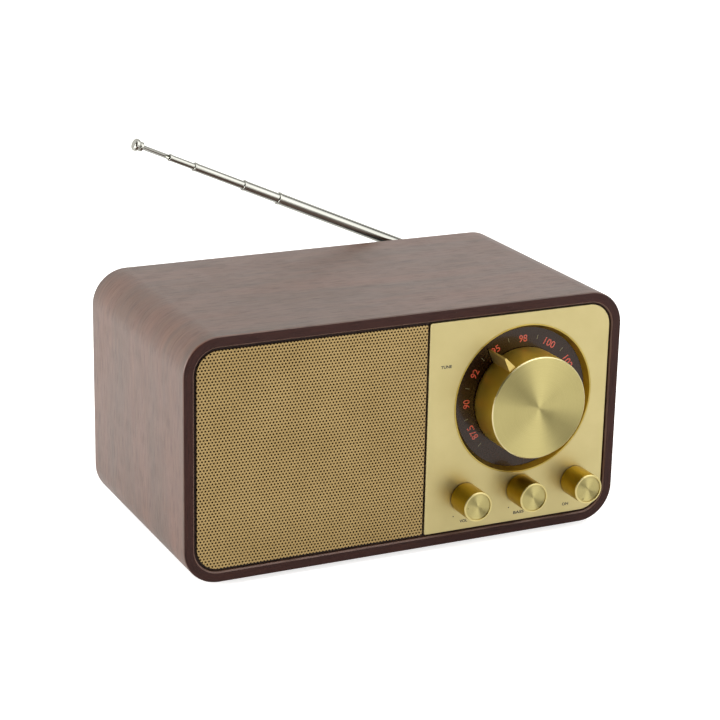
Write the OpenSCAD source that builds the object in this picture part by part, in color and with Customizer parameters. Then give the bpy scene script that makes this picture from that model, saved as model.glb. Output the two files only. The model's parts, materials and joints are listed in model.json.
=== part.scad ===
// Tabletop radio: a wooden sleeve with a perforated grille and a gilt control
// panel at the front, and a telescopic aerial on the back panel.
// Millimetres. X runs to the right, Y to the back and Z up. The origin is on
// the surface that the feet stand on, under the middle of the sleeve.

/* [Sleeve] */
// Width of the wooden sleeve
cab_w = 240; // [225:1:320]
// Depth of the wooden sleeve
cab_d = 131; // [115:1:200]
// Height of the wooden sleeve
cab_h = 125; // [120:1:180]
// Thickness of the sleeve's wall
wall = 5.5; // [4.5:0.5:8]
// Outer radius of the sleeve's long edges
cab_r = 18.5; // [14:0.5:24]
// Height of the rubber feet
foot_h = 2.5; // [2:0.5:6]
// Radius of the rubber feet
foot_r = 8; // [6:0.5:11]
// Distance of each foot's middle from the sleeve's sides
foot_inset = 26; // [20:1:40]

/* [Front] */
// How far the panel and the grille sit behind the sleeve's edge
panel_recess = 0.7; // [0.3:0.1:3]
// Thickness of the control panel
panel_t = 1.6; // [1.2:0.1:3]
// Width of the control panel
panel_w = 103.3; // [98:0.1:110]
// Gap between the control panel and the sleeve
panel_gap = 1.1; // [0.5:0.1:2]
// Gap between the grille and the sleeve
grille_gap = 1.5; // [0.5:0.1:3]
// Gap between the grille and the control panel
split_gap = 1.3; // [0.6:0.1:3]
// Thickness of the grille's sheet
grille_t = 1; // [0.6:0.1:1.1]
// Thickness of the baffle board behind the panel and the grille
baffle_t = 9; // [7:0.5:14]

/* [Dial] */
// Distance from the panel's inner edge to the middle of the dial
dial_inset = 54.6; // [50:0.1:58]
// Distance from the top of the sleeve down to the middle of the dial
dial_drop = 52.4; // [50:0.1:56]
// Radius of the dial's opening at the front of the panel
dial_r = 38.9; // [35:0.1:40]
// Depth from the front of the panel down to the dial
dial_depth = 3.2; // [2.4:0.1:4.5]
// Thickness of the dial
dial_t = 1.5; // [1:0.1:2]
// Radius of the tuning knob
tune_r = 26.8; // [22:0.1:28]
// How far the tuning knob's face stands in front of the sleeve
tune_reach = 15.2; // [10:0.1:24]
// Angle of the pointer above the right-hand horizontal
pointer_angle = 125.5; // [0:0.5:180]
// Reach of the pointer's tip from the middle of the dial
pointer_r = 34.5; // [31:0.1:35.5]

/* [Small knobs] */
// Height of the knobs above the underside of the sleeve
knob_rise = 23.9; // [22:0.1:26]
// Distance between neighbouring knobs
knob_pitch = 32.2; // [24:0.1:34]
// Radius of the knobs
knob_r = 7.9; // [6:0.1:10]
// How far the knobs' faces stand in front of the sleeve
knob_reach = 14.5; // [10:0.1:20]
// Radius of the control shafts
shaft_r = 3; // [2.5:0.1:3.2]

/* [Loudspeaker] */
// Outer radius of the loudspeaker's frame
speaker_r = 43; // [38:0.5:46]
// Radius of the opening in the baffle
mouth_r = 36.5; // [30:0.5:38]
// Depth of the paper cone
cone_depth = 12.4; // [8:0.1:18]
// Thickness of the ring magnet
magnet_t = 10; // [6:0.5:16]

/* [Back] */
// How far the back panel sits inside the sleeve
rear_recess = 2; // [2:0.5:6]
// Thickness of the back panel
rear_t = 3; // [2:0.5:5]
// Height of the two sockets above the floor inside the sleeve
socket_rise = 18.5; // [18:0.5:30]
// Radius of the 3.5 mm audio socket's bore
aux_r = 1.8; // [1.78:0.01:1.85]

/* [Aerial] */
// Distance of the swivel from the sleeve's right side
aerial_inset = 22; // [20:0.5:60]
// Distance of the swivel from the top of the sleeve
aerial_drop = 21.1; // [18:0.1:40]
// Angle of the aerial above the left-hand horizontal
aerial_angle = 23.7; // [0:0.1:90]
// Radius of the swivel
swivel_r = 6.5; // [5.5:0.1:8]
// Length of the first section, from the hinge pin to its open end
section_one = 120; // [100:1:150]
// Length of each inner section's rod or tube
section_len = 104; // [90:1:104]
// Outer radius of the first section
section_r = 3.25; // [3.1:0.05:3.6]
// Step in radius from one section to the next
section_step = 0.5; // [0.45:0.01:0.55]
// How far each inner section stands out of the one before it
drawn = [22, 30.5, 15, 15.7];

/* [Fits] */
// Radial clearance of a shaft, spigot or aerial section that turns or slides
run_fit = 0.05; // [0.03:0.01:0.08]
// Gap between pieces that move past each other
move_gap = 0.5; // [0.3:0.1:1]
// Radial clearance of pressed and screwed pieces
seat_fit = 0.02; // [0.01:0.01:0.03]

/* [Hidden] */
$fn = 64;

// Sleeve
front_y = -cab_d / 2;
rear_y = cab_d / 2;
bottom_z = foot_h;
top_z = foot_h + cab_h;
mid_z = foot_h + cab_h / 2;
in_w = cab_w - 2 * wall;
in_h = cab_h - 2 * wall;
in_r = cab_r - wall;
floor_z = bottom_z + wall;

// Front stack, from the sleeve's edge backwards
panel_y = front_y + panel_recess;
baffle_y = panel_y + panel_t;
bracket_y = baffle_y + baffle_t;
bracket_t = 1.5;
pot_y = bracket_y + bracket_t;
dial_y = panel_y + dial_depth;
panel_right = in_w / 2 - panel_gap;
panel_left = panel_right - panel_w;
panel_h = in_h - 2 * panel_gap;
grille_left = -in_w / 2 + grille_gap;
grille_right = panel_left - split_gap;
grille_w = grille_right - grille_left;
grille_h = in_h - 2 * grille_gap;
square_r = 1;                   // radius of the two corners next to the split
cloth_margin = 2;

// Controls
dial_x = panel_left + dial_inset;
dial_z = top_z - dial_drop;
knob_z = bottom_z + knob_rise;
control_xz = [
    [dial_x, dial_z],
    [dial_x - knob_pitch, knob_z],
    [dial_x, knob_z],
    [dial_x + knob_pitch, knob_z]
];
bezel_edge = 0.7;               // bright rim of the dial's opening
bezel_slope = 0.6;              // how much the opening narrows for each millimetre of depth
bezel_flange = 2.6;
bezel_flange_t = 1;
bezel_in_r = dial_r - bezel_slope * dial_depth;
bezel_out_r = dial_r + bezel_edge;
pocket_r = bezel_out_r + bezel_flange + 0.3;
dial_plate_r = bezel_out_r + bezel_flange - 1;
bush_r = 3.5;
bush_len = 7;
bush_hole_r = 5;                // hole in the dial round the bushing
panel_hole_r = 4;
baffle_hole_r = 8.5;
pot_r = 8;
pot_len = 10;
pot_wall = 0.8;
nut_flats = 10;
nut_t = 2.5;
washer_t = 0.5;
washer_r = 5.6;
flat_cut = 0.8;                 // depth of the flat along each shaft's end
tune_face_y = front_y - tune_reach;
tune_back_y = dial_y - move_gap;
tune_wall = 1.8;
tune_face_t = 2.2;
tune_hub_r = 7;
knob_face_y = front_y - knob_reach;
knob_back_y = panel_y - move_gap;
knob_rim = 1;
cap_sink = 0.6;                 // how far the cap lies behind the knob's rim
cap_t = 0.6;
tune_shaft_tip = tune_face_y + tune_face_t + 1.5;
knob_shaft_tip = knob_face_y + cap_sink + cap_t + 3.5;

// Loudspeaker, behind the baffle in the middle of the grille
speaker_x = (grille_left + grille_right) / 2;
gasket_t = 0.8;
basket_y = bracket_y + gasket_t;
basket_t = 1.2;
roll_r = 2.5;                   // radius of the rubber roll round the cone
roll_t = 0.5;
basket_in_r = mouth_r;
basket_floor_r = 21;
surround_r = basket_in_r - 0.3;
cone_r = surround_r - 2 * roll_r - 0.5;
coil_r = 10;
coil_len = 13;
cone_back_y = basket_y + cone_depth;
plate_y = cone_back_y + 6;
plate_t = 4;
magnet_y = plate_y + plate_t;
yoke_y = magnet_y + magnet_t;
magnet_r = 26;
spider_r = basket_floor_r;

// Circuit board
board_w = 92;
board_d = 60;
board_t = 1.6;
board_rise = 6;
board_z = floor_z + board_rise;
board_top = board_z + board_t;
board_x = in_w / 2 - in_r - board_w / 2;
board_y = rear_y - 28 - board_d / 2;

// Back
rear_out_y = rear_y - rear_recess;
rear_in_y = rear_out_y - rear_t;
rear_gap = 0.3;
block_w = 20;
block_h = 12;
block_d = 20;
block_x = in_w / 2 - 52;
screw_r = 1.5;
aux_x = 70;
dc_x = 44;
socket_z = floor_z + socket_rise;
aux_thread_r = 4;
aux_depth = 14;
dc_thread_r = 5.5;
dc_bore_r = 2.9;
dc_depth = 9;

// Aerial
aerial_x = cab_w / 2 - aerial_inset;
aerial_z = top_z - aerial_drop;
pin_y = rear_y + tune_reach - swivel_r;
base_t = 3;
base_r = 9.5;
spigot_r = 4;
slot_w = 4.4;
blade_t = 3.8;
blade_r = 4.4;
pin_r = 1.2;
collar_from = swivel_r + 1;
tube_from = collar_from + 2;
section_wall = section_step - run_fit;
tip_r = 3.3;
ends = [for (i = [0 : 4]) section_one + sum_to(drawn, i)];

function sum_to(list, count) = count == 0 ? 0 : list[count - 1] + sum_to(list, count - 1);

// ---- Helpers ----

// Rectangle with its own radius at the left and at the right corners
module round_rect(w, h, r_left, r_right) {
    for (level = [-1, 1]) {
        translate([-w / 2 + r_left, level * (h / 2 - r_left)]) circle(r_left);
        translate([w / 2 - r_right, level * (h / 2 - r_right)]) circle(r_right);
    }
    translate([-w / 2 + r_left, -h / 2]) square([w - r_left - r_right, h]);
    translate([-w / 2, -h / 2 + r_left]) square([w / 2, h - 2 * r_left]);
    translate([0, -h / 2 + r_right]) square([w / 2, h - 2 * r_right]);
}

// Plate from an outline drawn in X and Z, from y_from backwards
module slab(y_from, thick) {
    translate([0, y_from + thick, 0]) rotate([90, 0, 0]) linear_extrude(thick) children();
}

// Round bar along Y, from y_from backwards
module bar(y_from, length, r) {
    translate([0, y_from, 0]) rotate([-90, 0, 0]) cylinder(h = length, r = r);
}

// Outline of radius and depth turned about an axis along Y
module turned(y_from) {
    translate([0, y_from, 0]) rotate([-90, 0, 0]) rotate_extrude() children();
}

module at(x, z) {
    translate([x, 0, z]) children();
}

// Ring along Y
module ring(y_from, length, r_out, r_in) {
    difference() {
        bar(y_from, length, r_out);
        bar(y_from - 1, length + 2, r_in);
    }
}

// Pan-head screw along Y: its head starts at y_seat and its shank runs forwards
module pan_screw(y_seat, length) {
    head_r = 2 * screw_r;
    head_h = 1.7;
    difference() {
        union() {
            bar(y_seat - length, length, screw_r);
            turned(y_seat) polygon([
                [0, 0], [head_r, 0], [head_r, head_h / 2],
                [head_r * 0.7, head_h], [0, head_h]
            ]);
        }
        for (turn = [0, 90])
            rotate([0, turn, 0]) translate([-1.6, y_seat + head_h / 2, -0.35]) cube([3.2, 2, 0.7]);
    }
}

// ---- Sleeve ----

module cabinet() {
    color("#7a4a3c") at(0, mid_z) difference() {
        slab(front_y, cab_d) round_rect(cab_w, cab_h, cab_r, cab_r);
        slab(front_y - 1, cab_d + 2) round_rect(in_w, in_h, in_r, in_r);
        for (spot = foot_spots())
            translate([spot[0], spot[1], -cab_h / 2 - 1]) cylinder(h = wall, r = screw_r + seat_fit);
    }
}

function foot_spots() = [
    for (side = [-1, 1]) for (end = [-1, 1])
        [side * (cab_w / 2 - foot_inset), end * (cab_d / 2 - foot_inset)]
];

// Rubber foot with a sunk middle for its screw's head
module feet() {
    color("#1c1c1c") for (spot = foot_spots())
        translate([spot[0], spot[1], 0]) rotate_extrude() polygon([
            [screw_r + 0.1, 1.7], [3.2, 1.7], [3.2, 0], [foot_r - 0.8, 0],
            [foot_r, 0.8], [foot_r - 0.5, foot_h], [screw_r + 0.1, foot_h]
        ]);
}

module foot_screws() {
    head_r = 2.8;
    seat_z = 1.7;
    color("#8a8d90") for (spot = foot_spots())
        translate([spot[0], spot[1], seat_z]) {
            cylinder(h = foot_h - seat_z + wall - 2, r = screw_r);
            rotate([180, 0, 0]) cylinder(h = 1.2, r = head_r);
        }
}

// ---- Front ----

module front_baffle() {
    color("#26221f") difference() {
        at(0, mid_z) slab(baffle_y, baffle_t) round_rect(in_w, in_h, in_r, in_r);
        at(speaker_x, mid_z) bar(baffle_y - 1, baffle_t + 2, mouth_r);
        at(dial_x, dial_z) bar(baffle_y - 1, dial_y + dial_t - baffle_y + 1, pocket_r);
        for (spot = control_xz)
            at(spot[0], spot[1]) bar(baffle_y - 1, baffle_t + 2, baffle_hole_r);
        for (spot = bracket_spots())
            at(spot[0], spot[1]) bar(bracket_y - 5, 6, screw_r + seat_fit);
        for (turn = speaker_turns)
            at(speaker_x, mid_z) rotate([0, turn, 0]) at(speaker_screw_r, 0)
                bar(bracket_y - 6, 7, screw_r + seat_fit);
    }
}

module control_panel() {
    color("#d6c68c") difference() {
        at((panel_left + panel_right) / 2, mid_z)
            slab(panel_y, panel_t) round_rect(panel_w, panel_h, square_r, in_r - panel_gap);
        at(dial_x, dial_z) bar(panel_y - 1, panel_t + 2, bezel_out_r + seat_fit);
        for (i = [1 : 3])
            at(control_xz[i][0], control_xz[i][1]) bar(panel_y - 1, panel_t + 2, panel_hole_r);
    }
}

// Conical ring that lines the dial's opening; its flange is held behind the panel
module dial_bezel() {
    color("#b39c4a") at(dial_x, dial_z) turned(panel_y) polygon([
        [dial_r, 0], [bezel_out_r, 0], [bezel_out_r, panel_t],
        [bezel_out_r + bezel_flange, panel_t],
        [bezel_out_r + bezel_flange, panel_t + bezel_flange_t],
        [bezel_in_r + 1.5, panel_t + bezel_flange_t],
        [bezel_in_r + 1.5, dial_depth], [bezel_in_r, dial_depth]
    ]);
}

module dial_plate() {
    color("#241510") at(dial_x, dial_z) ring(dial_y, dial_t, dial_plate_r, bush_hole_r);
}

module speaker_grille() {
    color("#c3a773") at((grille_left + grille_right) / 2, mid_z)
        slab(panel_y, grille_t) round_rect(grille_w, grille_h, in_r - grille_gap, square_r);
}

module grille_cloth() {
    trim = 2 * cloth_margin;
    color("#141414") at((grille_left + grille_right) / 2, mid_z)
        slab(panel_y + grille_t, panel_t - grille_t)
            round_rect(grille_w - trim, grille_h - trim, in_r - grille_gap - cloth_margin, square_r);
}

// ---- Controls ----

// Round hole with a flat side for the end of a control shaft
module keyed_bore(y_from, length, fit) {
    difference() {
        bar(y_from, length, shaft_r + fit);
        translate([-shaft_r - 1, y_from - 1, shaft_r - flat_cut + fit])
            cube([2 * shaft_r + 2, length + 2, shaft_r]);
    }
}

// Shaft with a flat at its front end and the pot's wiper disc at its back end
module control_shaft(tip_y) {
    round_from = bracket_y - bush_len - 1;
    keyed_bore(tip_y, round_from - tip_y, 0);
    bar(round_from, pot_y + pot_len - 2.5 - round_from, shaft_r);
    bar(pot_y + 3, 1.5, pot_r - pot_wall - 0.8);
}

// Potentiometer: threaded bushing, round case and three solder tags
module control_pot() {
    case_in = pot_r - pot_wall;
    difference() {
        union() {
            bar(bracket_y - bush_len, bush_len + bracket_t, bush_r);
            bar(pot_y, pot_len, pot_r);
        }
        bar(bracket_y - bush_len - 1, bush_len + bracket_t + 3, shaft_r + run_fit);
        bar(pot_y + 1.2, pot_len - 1.2 - pot_wall, case_in);
    }
    for (x = [-4, 0, 4]) {
        tag_top = -sqrt(pow(pot_r, 2) - pow(x, 2)) + 0.5;
        translate([x - 0.6, pot_y + 1.2, -pot_r - 5]) cube([1.2, 0.6, tag_top + pot_r + 5]);
    }
}

module knob_body() {
    bore_from = knob_shaft_tip - 0.3;
    difference() {
        turned(knob_face_y) polygon([
            [0, cap_sink + cap_t], [knob_r - knob_rim, cap_sink + cap_t],
            [knob_r - knob_rim, 0], [knob_r - 0.3, 0], [knob_r, 0.3],
            [knob_r, knob_back_y - knob_face_y], [0, knob_back_y - knob_face_y]
        ]);
        keyed_bore(bore_from, knob_back_y - bore_from + 1, seat_fit);
        ring(knob_back_y - 6, 7, knob_r - 1.2, shaft_r + 1.6);
    }
}

// Spun disc in the knob's face with a dimple that shows where the knob points
module knob_cap(dot_angle) {
    cap_r = knob_r - knob_rim - seat_fit;
    dot_r = 0.5;
    difference() {
        bar(knob_face_y + cap_sink, cap_t, cap_r);
        rotate([0, -dot_angle, 0]) at(cap_r - 1.1, 0)
            bar(knob_face_y + cap_sink - 1, 1.3, dot_r);
    }
}

module tuning_knob() {
    chamfer = 0.5;
    length = tune_back_y - tune_face_y;
    color("#c8bd88") at(dial_x, dial_z) turned(tune_face_y) polygon([
        [0, 0], [tune_r - chamfer, 0], [tune_r, chamfer], [tune_r, length],
        [tune_r - tune_wall, length], [tune_r - tune_wall, tune_face_t], [0, tune_face_t]
    ]);
}

// Ribbed core that is pressed into the tuning knob and holds its shaft
module tuning_knob_hub() {
    hub_y = tune_face_y + tune_face_t;
    bore_from = tune_shaft_tip - 0.3;
    rib_from = tune_hub_r - 1;
    rib_to = tune_r - tune_wall - 0.1;
    color("#2c2c2c") at(dial_x, dial_z) difference() {
        union() {
            bar(hub_y, tune_back_y - hub_y, tune_hub_r);
            for (turn = [20 : 60 : 320])
                rotate([0, turn, 0]) translate([rib_from, hub_y, -0.8]) cube([rib_to - rib_from, 9, 1.6]);
        }
        keyed_bore(bore_from, tune_back_y - bore_from + 1, seat_fit);
    }
}

// Tapered blade whose root is cut to the tuning knob's side
module tuning_pointer() {
    root_half = 2.4;
    tip_half = 0.45;
    from = tune_r - 2;
    color("#c8bd88") at(dial_x, dial_z) rotate([0, -pointer_angle, 0]) difference() {
        slab(tune_face_y + 1.2, tune_back_y - tune_face_y - 1.2) polygon([
            [from, root_half], [pointer_r, tip_half], [pointer_r, -tip_half], [from, -root_half]
        ]);
        bar(tune_face_y - 1, tune_back_y - tune_face_y + 2, tune_r);
    }
}

module tuning_shaft() {
    color("#b8b8b8") at(dial_x, dial_z) control_shaft(tune_shaft_tip);
}

module tuning_pot() {
    color("#8c8f92") at(dial_x, dial_z) control_pot();
}

module volume_knob() {
    color("#b8912c") at(control_xz[1][0], knob_z) knob_body();
}

module volume_knob_cap() {
    color("#c8bd88") at(control_xz[1][0], knob_z) knob_cap(180);
}

module volume_shaft() {
    color("#b8b8b8") at(control_xz[1][0], knob_z) control_shaft(knob_shaft_tip);
}

module volume_pot() {
    color("#8c8f92") at(control_xz[1][0], knob_z) control_pot();
}

module bass_knob() {
    color("#b8912c") at(control_xz[2][0], knob_z) knob_body();
}

module bass_knob_cap() {
    color("#c8bd88") at(control_xz[2][0], knob_z) knob_cap(-60);
}

module bass_shaft() {
    color("#b8b8b8") at(control_xz[2][0], knob_z) control_shaft(knob_shaft_tip);
}

module bass_pot() {
    color("#8c8f92") at(control_xz[2][0], knob_z) control_pot();
}

module power_knob() {
    color("#b8912c") at(control_xz[3][0], knob_z) knob_body();
}

module power_knob_cap() {
    color("#c8bd88") at(control_xz[3][0], knob_z) knob_cap(240);
}

module power_shaft() {
    color("#b8b8b8") at(control_xz[3][0], knob_z) control_shaft(knob_shaft_tip);
}

module power_switch() {
    color("#55585c") at(control_xz[3][0], knob_z) control_pot();
}

// Steel plate on the back of the baffle that carries the four controls
bracket_side = knob_pitch + pot_r + 2;
bracket_low = knob_z - pot_r - 3;
bracket_high = dial_z + pot_r + 6;

function bracket_spots() = [
    for (side = [-1, 1]) for (z = [bracket_low + 4, bracket_high - 4])
        [dial_x + side * (bracket_side - 4 - (z < dial_z ? knob_pitch / 2 + 0.5 : 0)), z]
];

module control_bracket() {
    color("#a9adb0") difference() {
        at(dial_x - bracket_side, bracket_low)
            translate([0, bracket_y, 0])
                cube([2 * bracket_side, bracket_t, bracket_high - bracket_low]);
        for (spot = control_xz)
            at(spot[0], spot[1]) bar(bracket_y - 1, bracket_t + 2, bush_r + seat_fit);
        for (spot = bracket_spots())
            at(spot[0], spot[1]) bar(bracket_y - 1, bracket_t + 2, screw_r + 0.1);
    }
}

module bracket_screws() {
    color("#8a8d90") for (spot = bracket_spots())
        at(spot[0], spot[1]) pan_screw(pot_y, bracket_t + 5);
}

// Hexagon nut and plain washer on each bushing, inside the baffle's holes
module control_nuts() {
    color("#b9a25a") for (spot = control_xz)
        at(spot[0], spot[1]) {
            difference() {
                slab(bracket_y - washer_t - nut_t, nut_t) circle(nut_flats / 2 / cos(30), $fn = 6);
                bar(bracket_y - 6, 7, bush_r + seat_fit);
            }
            ring(bracket_y - washer_t, washer_t, washer_r, bush_r + seat_fit);
        }
}

// ---- Loudspeaker ----

speaker_turns = [45, 135, 225, 315];
speaker_screw_r = speaker_r - 2.5;

module speaker_gasket() {
    color("#101010") at(speaker_x, mid_z) difference() {
        ring(bracket_y, gasket_t, speaker_r, basket_in_r);
        for (turn = speaker_turns)
            rotate([0, turn, 0]) at(speaker_screw_r, 0) bar(bracket_y - 1, 3, screw_r + 0.1);
    }
}

// Pressed frame: flat rim, conical body with four windows, and a floor for the motor
module speaker_basket() {
    depth = plate_y - basket_y;
    color("#5a5d60") at(speaker_x, mid_z) difference() {
        turned(basket_y) polygon([
            [basket_in_r, 0], [speaker_r, 0], [speaker_r, basket_t],
            [basket_in_r + 0.9, basket_t], [basket_floor_r + 1.2, depth], [coil_r + 0.9, depth],
            [coil_r + 0.9, depth - basket_t], [basket_floor_r, depth - basket_t], [basket_in_r, basket_t]
        ]);
        for (turn = speaker_turns) {
            rotate([0, turn, 0]) at(speaker_screw_r, 0) bar(basket_y - 1, 4, screw_r + 0.1);
            rotate([0, turn + 45, 0])
                translate([basket_floor_r + 3, basket_y + 4, -9]) cube([12, depth - 8, 18]);
        }
    }
}

module speaker_screws() {
    color("#8a8d90") at(speaker_x, mid_z) for (turn = speaker_turns)
        rotate([0, turn, 0]) at(speaker_screw_r, 0)
            pan_screw(basket_y + basket_t, basket_t + gasket_t + 6);
}

module speaker_top_plate() {
    color("#7d8083") at(speaker_x, mid_z) ring(plate_y, plate_t, magnet_r - 3, coil_r + 0.7);
}

module speaker_magnet() {
    color("#2b2b2d") at(speaker_x, mid_z) ring(magnet_y, magnet_t, magnet_r, coil_r + 4);
}

// Back plate and pole in one piece
module speaker_yoke() {
    pole_y = plate_y + 0.5;
    color("#7d8083") at(speaker_x, mid_z) {
        bar(yoke_y, plate_t, magnet_r - 3);
        bar(pole_y, yoke_y - pole_y + 1, coil_r - 1.2);
    }
}

module speaker_cone() {
    skin = 0.6;
    color("#1d1b1a") at(speaker_x, mid_z) turned(basket_y) polygon([
        [cone_r, 0], [cone_r, skin], [coil_r, cone_depth], [coil_r, cone_depth - skin]
    ]);
}

// Half roll of rubber round the cone, with a flat lip on each side
module speaker_surround() {
    middle = cone_r + 0.5 + roll_r;
    color("#0d0d0d") at(speaker_x, mid_z) turned(basket_y) difference() {
        union() {
            translate([middle, 0]) circle(roll_r);
            translate([cone_r, -roll_t]) square([surround_r - cone_r, roll_t]);
        }
        translate([middle, 0]) circle(roll_r - roll_t);
        translate([middle - roll_r - 1, 0]) square([2 * roll_r + 2, roll_r + 1]);
    }
}

// Pleated ring that centres the voice coil
module speaker_spider() {
    pleats = 4;
    pitch = (spider_r - coil_r) / (2 * pleats);
    thick = 0.5;
    crest = 0.8;
    top = [for (i = [0 : 2 * pleats]) [coil_r + i * pitch, i % 2 == 0 ? 0 : crest]];
    under = [for (i = [2 * pleats : -1 : 0]) top[i] + [0, thick]];
    color("#c9b27c") at(speaker_x, mid_z) turned(cone_back_y + 1) polygon(concat(top, under));
}

module voice_coil() {
    color("#b26a35") at(speaker_x, mid_z) ring(cone_back_y - 0.6, coil_len, coil_r, coil_r - 0.5);
}

module dust_cap() {
    height = 3.5;
    dome_r = (pow(coil_r, 2) + pow(height, 2)) / (2 * height);
    color("#1a1a1a") at(speaker_x, mid_z) turned(cone_back_y - 0.6) difference() {
        translate([0, dome_r - height]) circle(dome_r);
        translate([0, dome_r - height]) circle(dome_r - 0.4);
        translate([0, 0]) square([2 * dome_r, 3 * dome_r]);
        translate([-2 * dome_r, -dome_r]) square([2 * dome_r, 4 * dome_r]);
    }
}

// ---- Circuit board ----

function board_spots() = [
    for (side = [-1, 1]) for (end = [-1, 1])
        [board_x + side * (board_w / 2 - 4), board_y + end * (board_d / 2 - 4)]
];

module main_board() {
    color("#2f6b46") difference() {
        translate([board_x - board_w / 2, board_y - board_d / 2, board_z])
            cube([board_w, board_d, board_t]);
        for (spot = board_spots())
            translate([spot[0], spot[1], board_z - 1]) cylinder(h = board_t + 2, r = screw_r + 0.1);
    }
}

module board_standoffs() {
    color("#c9a227") for (spot = board_spots())
        translate([spot[0], spot[1], floor_z]) difference() {
            cylinder(h = board_rise, r = 3);
            cylinder(h = board_rise + 1, r = screw_r + seat_fit);
        }
}

module board_screws() {
    color("#8a8d90") for (spot = board_spots())
        translate([spot[0], spot[1], board_z - board_rise + 1]) {
            cylinder(h = board_rise + board_t - 1, r = screw_r);
            translate([0, 0, board_rise + board_t - 1]) cylinder(h = 1.6, r = 2.8);
        }
}

module tuner_can() {
    color("#a4a8ab") translate([board_x - 34, board_y - 6, board_top]) difference() {
        cube([30, 22, 8]);
        translate([0.5, 0.5, -0.5]) cube([29, 21, 8]);
    }
}

// Finned block that cools the amplifier
module heatsink() {
    fins = 6;
    pitch = 5;
    color("#3b3e42") translate([board_x + 6, board_y - 22, board_top]) {
        cube([fins * pitch - 3.5, 2.5, 20]);
        for (i = [0 : fins - 1])
            translate([i * pitch, 2, 0]) cube([1.5, 10, 20]);
    }
}

module filter_capacitors() {
    color("#27313d") for (i = [0 : 2])
        translate([board_x + 4 + 13 * i, board_y + 12, board_top]) cylinder(h = 16, r = 5);
}

// ---- Back ----

function block_spots() = [
    for (side = [-1, 1]) for (level = [-1, 1])
        [side * block_x, mid_z + level * (in_h / 2 - block_h / 2)]
];

module rear_panel() {
    slot_l = 46;
    color("#1b1b1c") difference() {
        at(0, mid_z) slab(rear_in_y, rear_t)
            round_rect(in_w - 2 * rear_gap, in_h - 2 * rear_gap, in_r - rear_gap, in_r - rear_gap);
        for (spot = block_spots())
            at(spot[0], spot[1]) bar(rear_in_y - 1, rear_t + 2, screw_r + 0.1);
        at(aux_x, socket_z) bar(rear_in_y - 1, rear_t + 2, aux_thread_r + seat_fit);
        at(dc_x, socket_z) bar(rear_in_y - 1, rear_t + 2, dc_thread_r + seat_fit);
        at(aerial_x, aerial_z) bar(rear_in_y - 1, rear_t + 2, spigot_r + 1 + seat_fit);
        for (i = [-3 : 3])
            at(speaker_x + 2, mid_z + 6 * i) slab(rear_in_y - 1, rear_t + 2)
                round_rect(slot_l, 2.4, 0.8, 0.8);
    }
}

// Wooden blocks glued into the sleeve that take the back panel's screws
module rear_blocks() {
    color("#b98f5e") for (spot = block_spots())
        difference() {
            translate([spot[0] - block_w / 2, rear_in_y - block_d, spot[1] - block_h / 2])
                cube([block_w, block_d, block_h]);
            at(spot[0], spot[1]) bar(rear_in_y - 12, 13, screw_r + seat_fit);
        }
}

module rear_screws() {
    color("#8a8d90") for (spot = block_spots())
        at(spot[0], spot[1]) pan_screw(rear_out_y, rear_t + 11);
}

// 3.5 mm audio socket with its round nut outside the back panel
module aux_jack() {
    color("#9a9da0") at(aux_x, socket_z) difference() {
        union() {
            bar(rear_in_y, rear_t + 1.6, aux_thread_r);
            bar(rear_out_y, 1.2, aux_thread_r + 1.5);
            translate([-5.5, rear_in_y - aux_depth, -5.5]) cube([11, aux_depth, 11]);
        }
        bar(rear_out_y + 1.6 - aux_depth, aux_depth + 1, aux_r);
    }
}

// Barrel power socket with its centre pin
module dc_socket() {
    color("#2a2a2a") at(dc_x, socket_z) {
        difference() {
            union() {
                bar(rear_in_y, rear_t + 1.6, dc_thread_r);
                bar(rear_out_y, 1.2, dc_thread_r + 1.5);
                translate([-6.5, rear_in_y - 11, -6.5]) cube([13, 11, 13]);
            }
            bar(rear_out_y + 1.6 - dc_depth, dc_depth + 1, dc_bore_r);
        }
        bar(rear_out_y + 0.6 - dc_depth, dc_depth, 1);
    }
}

// ---- Aerial ----

// Puts Z along the aerial and X along the hinge pin, with the pin at the origin
module along_aerial() {
    translate([aerial_x, pin_y, aerial_z]) rotate([0, aerial_angle - 90, 0]) children();
}

// Round base on the back panel; its sleeve passes through the panel
module aerial_base() {
    color("#202022") at(aerial_x, aerial_z) difference() {
        union() {
            bar(rear_out_y, base_t, base_r);
            bar(rear_in_y, rear_t, spigot_r + 1);
        }
        bar(rear_in_y - 1, rear_t + base_t + 2, spigot_r + run_fit);
    }
}

// Turning fork: a spigot with a retaining flange, and two rounded ears
module aerial_swivel() {
    seat_y = rear_out_y + base_t + 0.3;
    color("#c9cacb") difference() {
        union() {
            at(aerial_x, aerial_z) {
                bar(rear_in_y - 1.8, seat_y - rear_in_y + 1.8, spigot_r);
                bar(rear_in_y - 1.8, 1.5, spigot_r + 3);
                bar(seat_y, pin_y - seat_y, swivel_r);
            }
            intersection() {
                at(aerial_x, aerial_z) bar(pin_y - 1, swivel_r + 2, swivel_r);
                along_aerial() rotate([0, 90, 0]) translate([0, 0, -swivel_r])
                    cylinder(h = 2 * swivel_r, r = swivel_r);
            }
        }
        along_aerial() translate([-slot_w / 2, -blade_r - 0.5, -swivel_r - 1])
            cube([slot_w, 2 * swivel_r + 2, 2 * swivel_r + 2]);
        along_aerial() rotate([0, 90, 0]) translate([0, 0, -swivel_r])
            cylinder(h = 2 * swivel_r, r = pin_r + seat_fit);
    }
}

module aerial_pin() {
    half = sqrt(pow(swivel_r, 2) - pow(pin_r, 2)) - 0.1;
    color("#9a9c9e") along_aerial() rotate([0, 90, 0]) translate([0, 0, -half])
        cylinder(h = 2 * half, r = pin_r);
}

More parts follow.
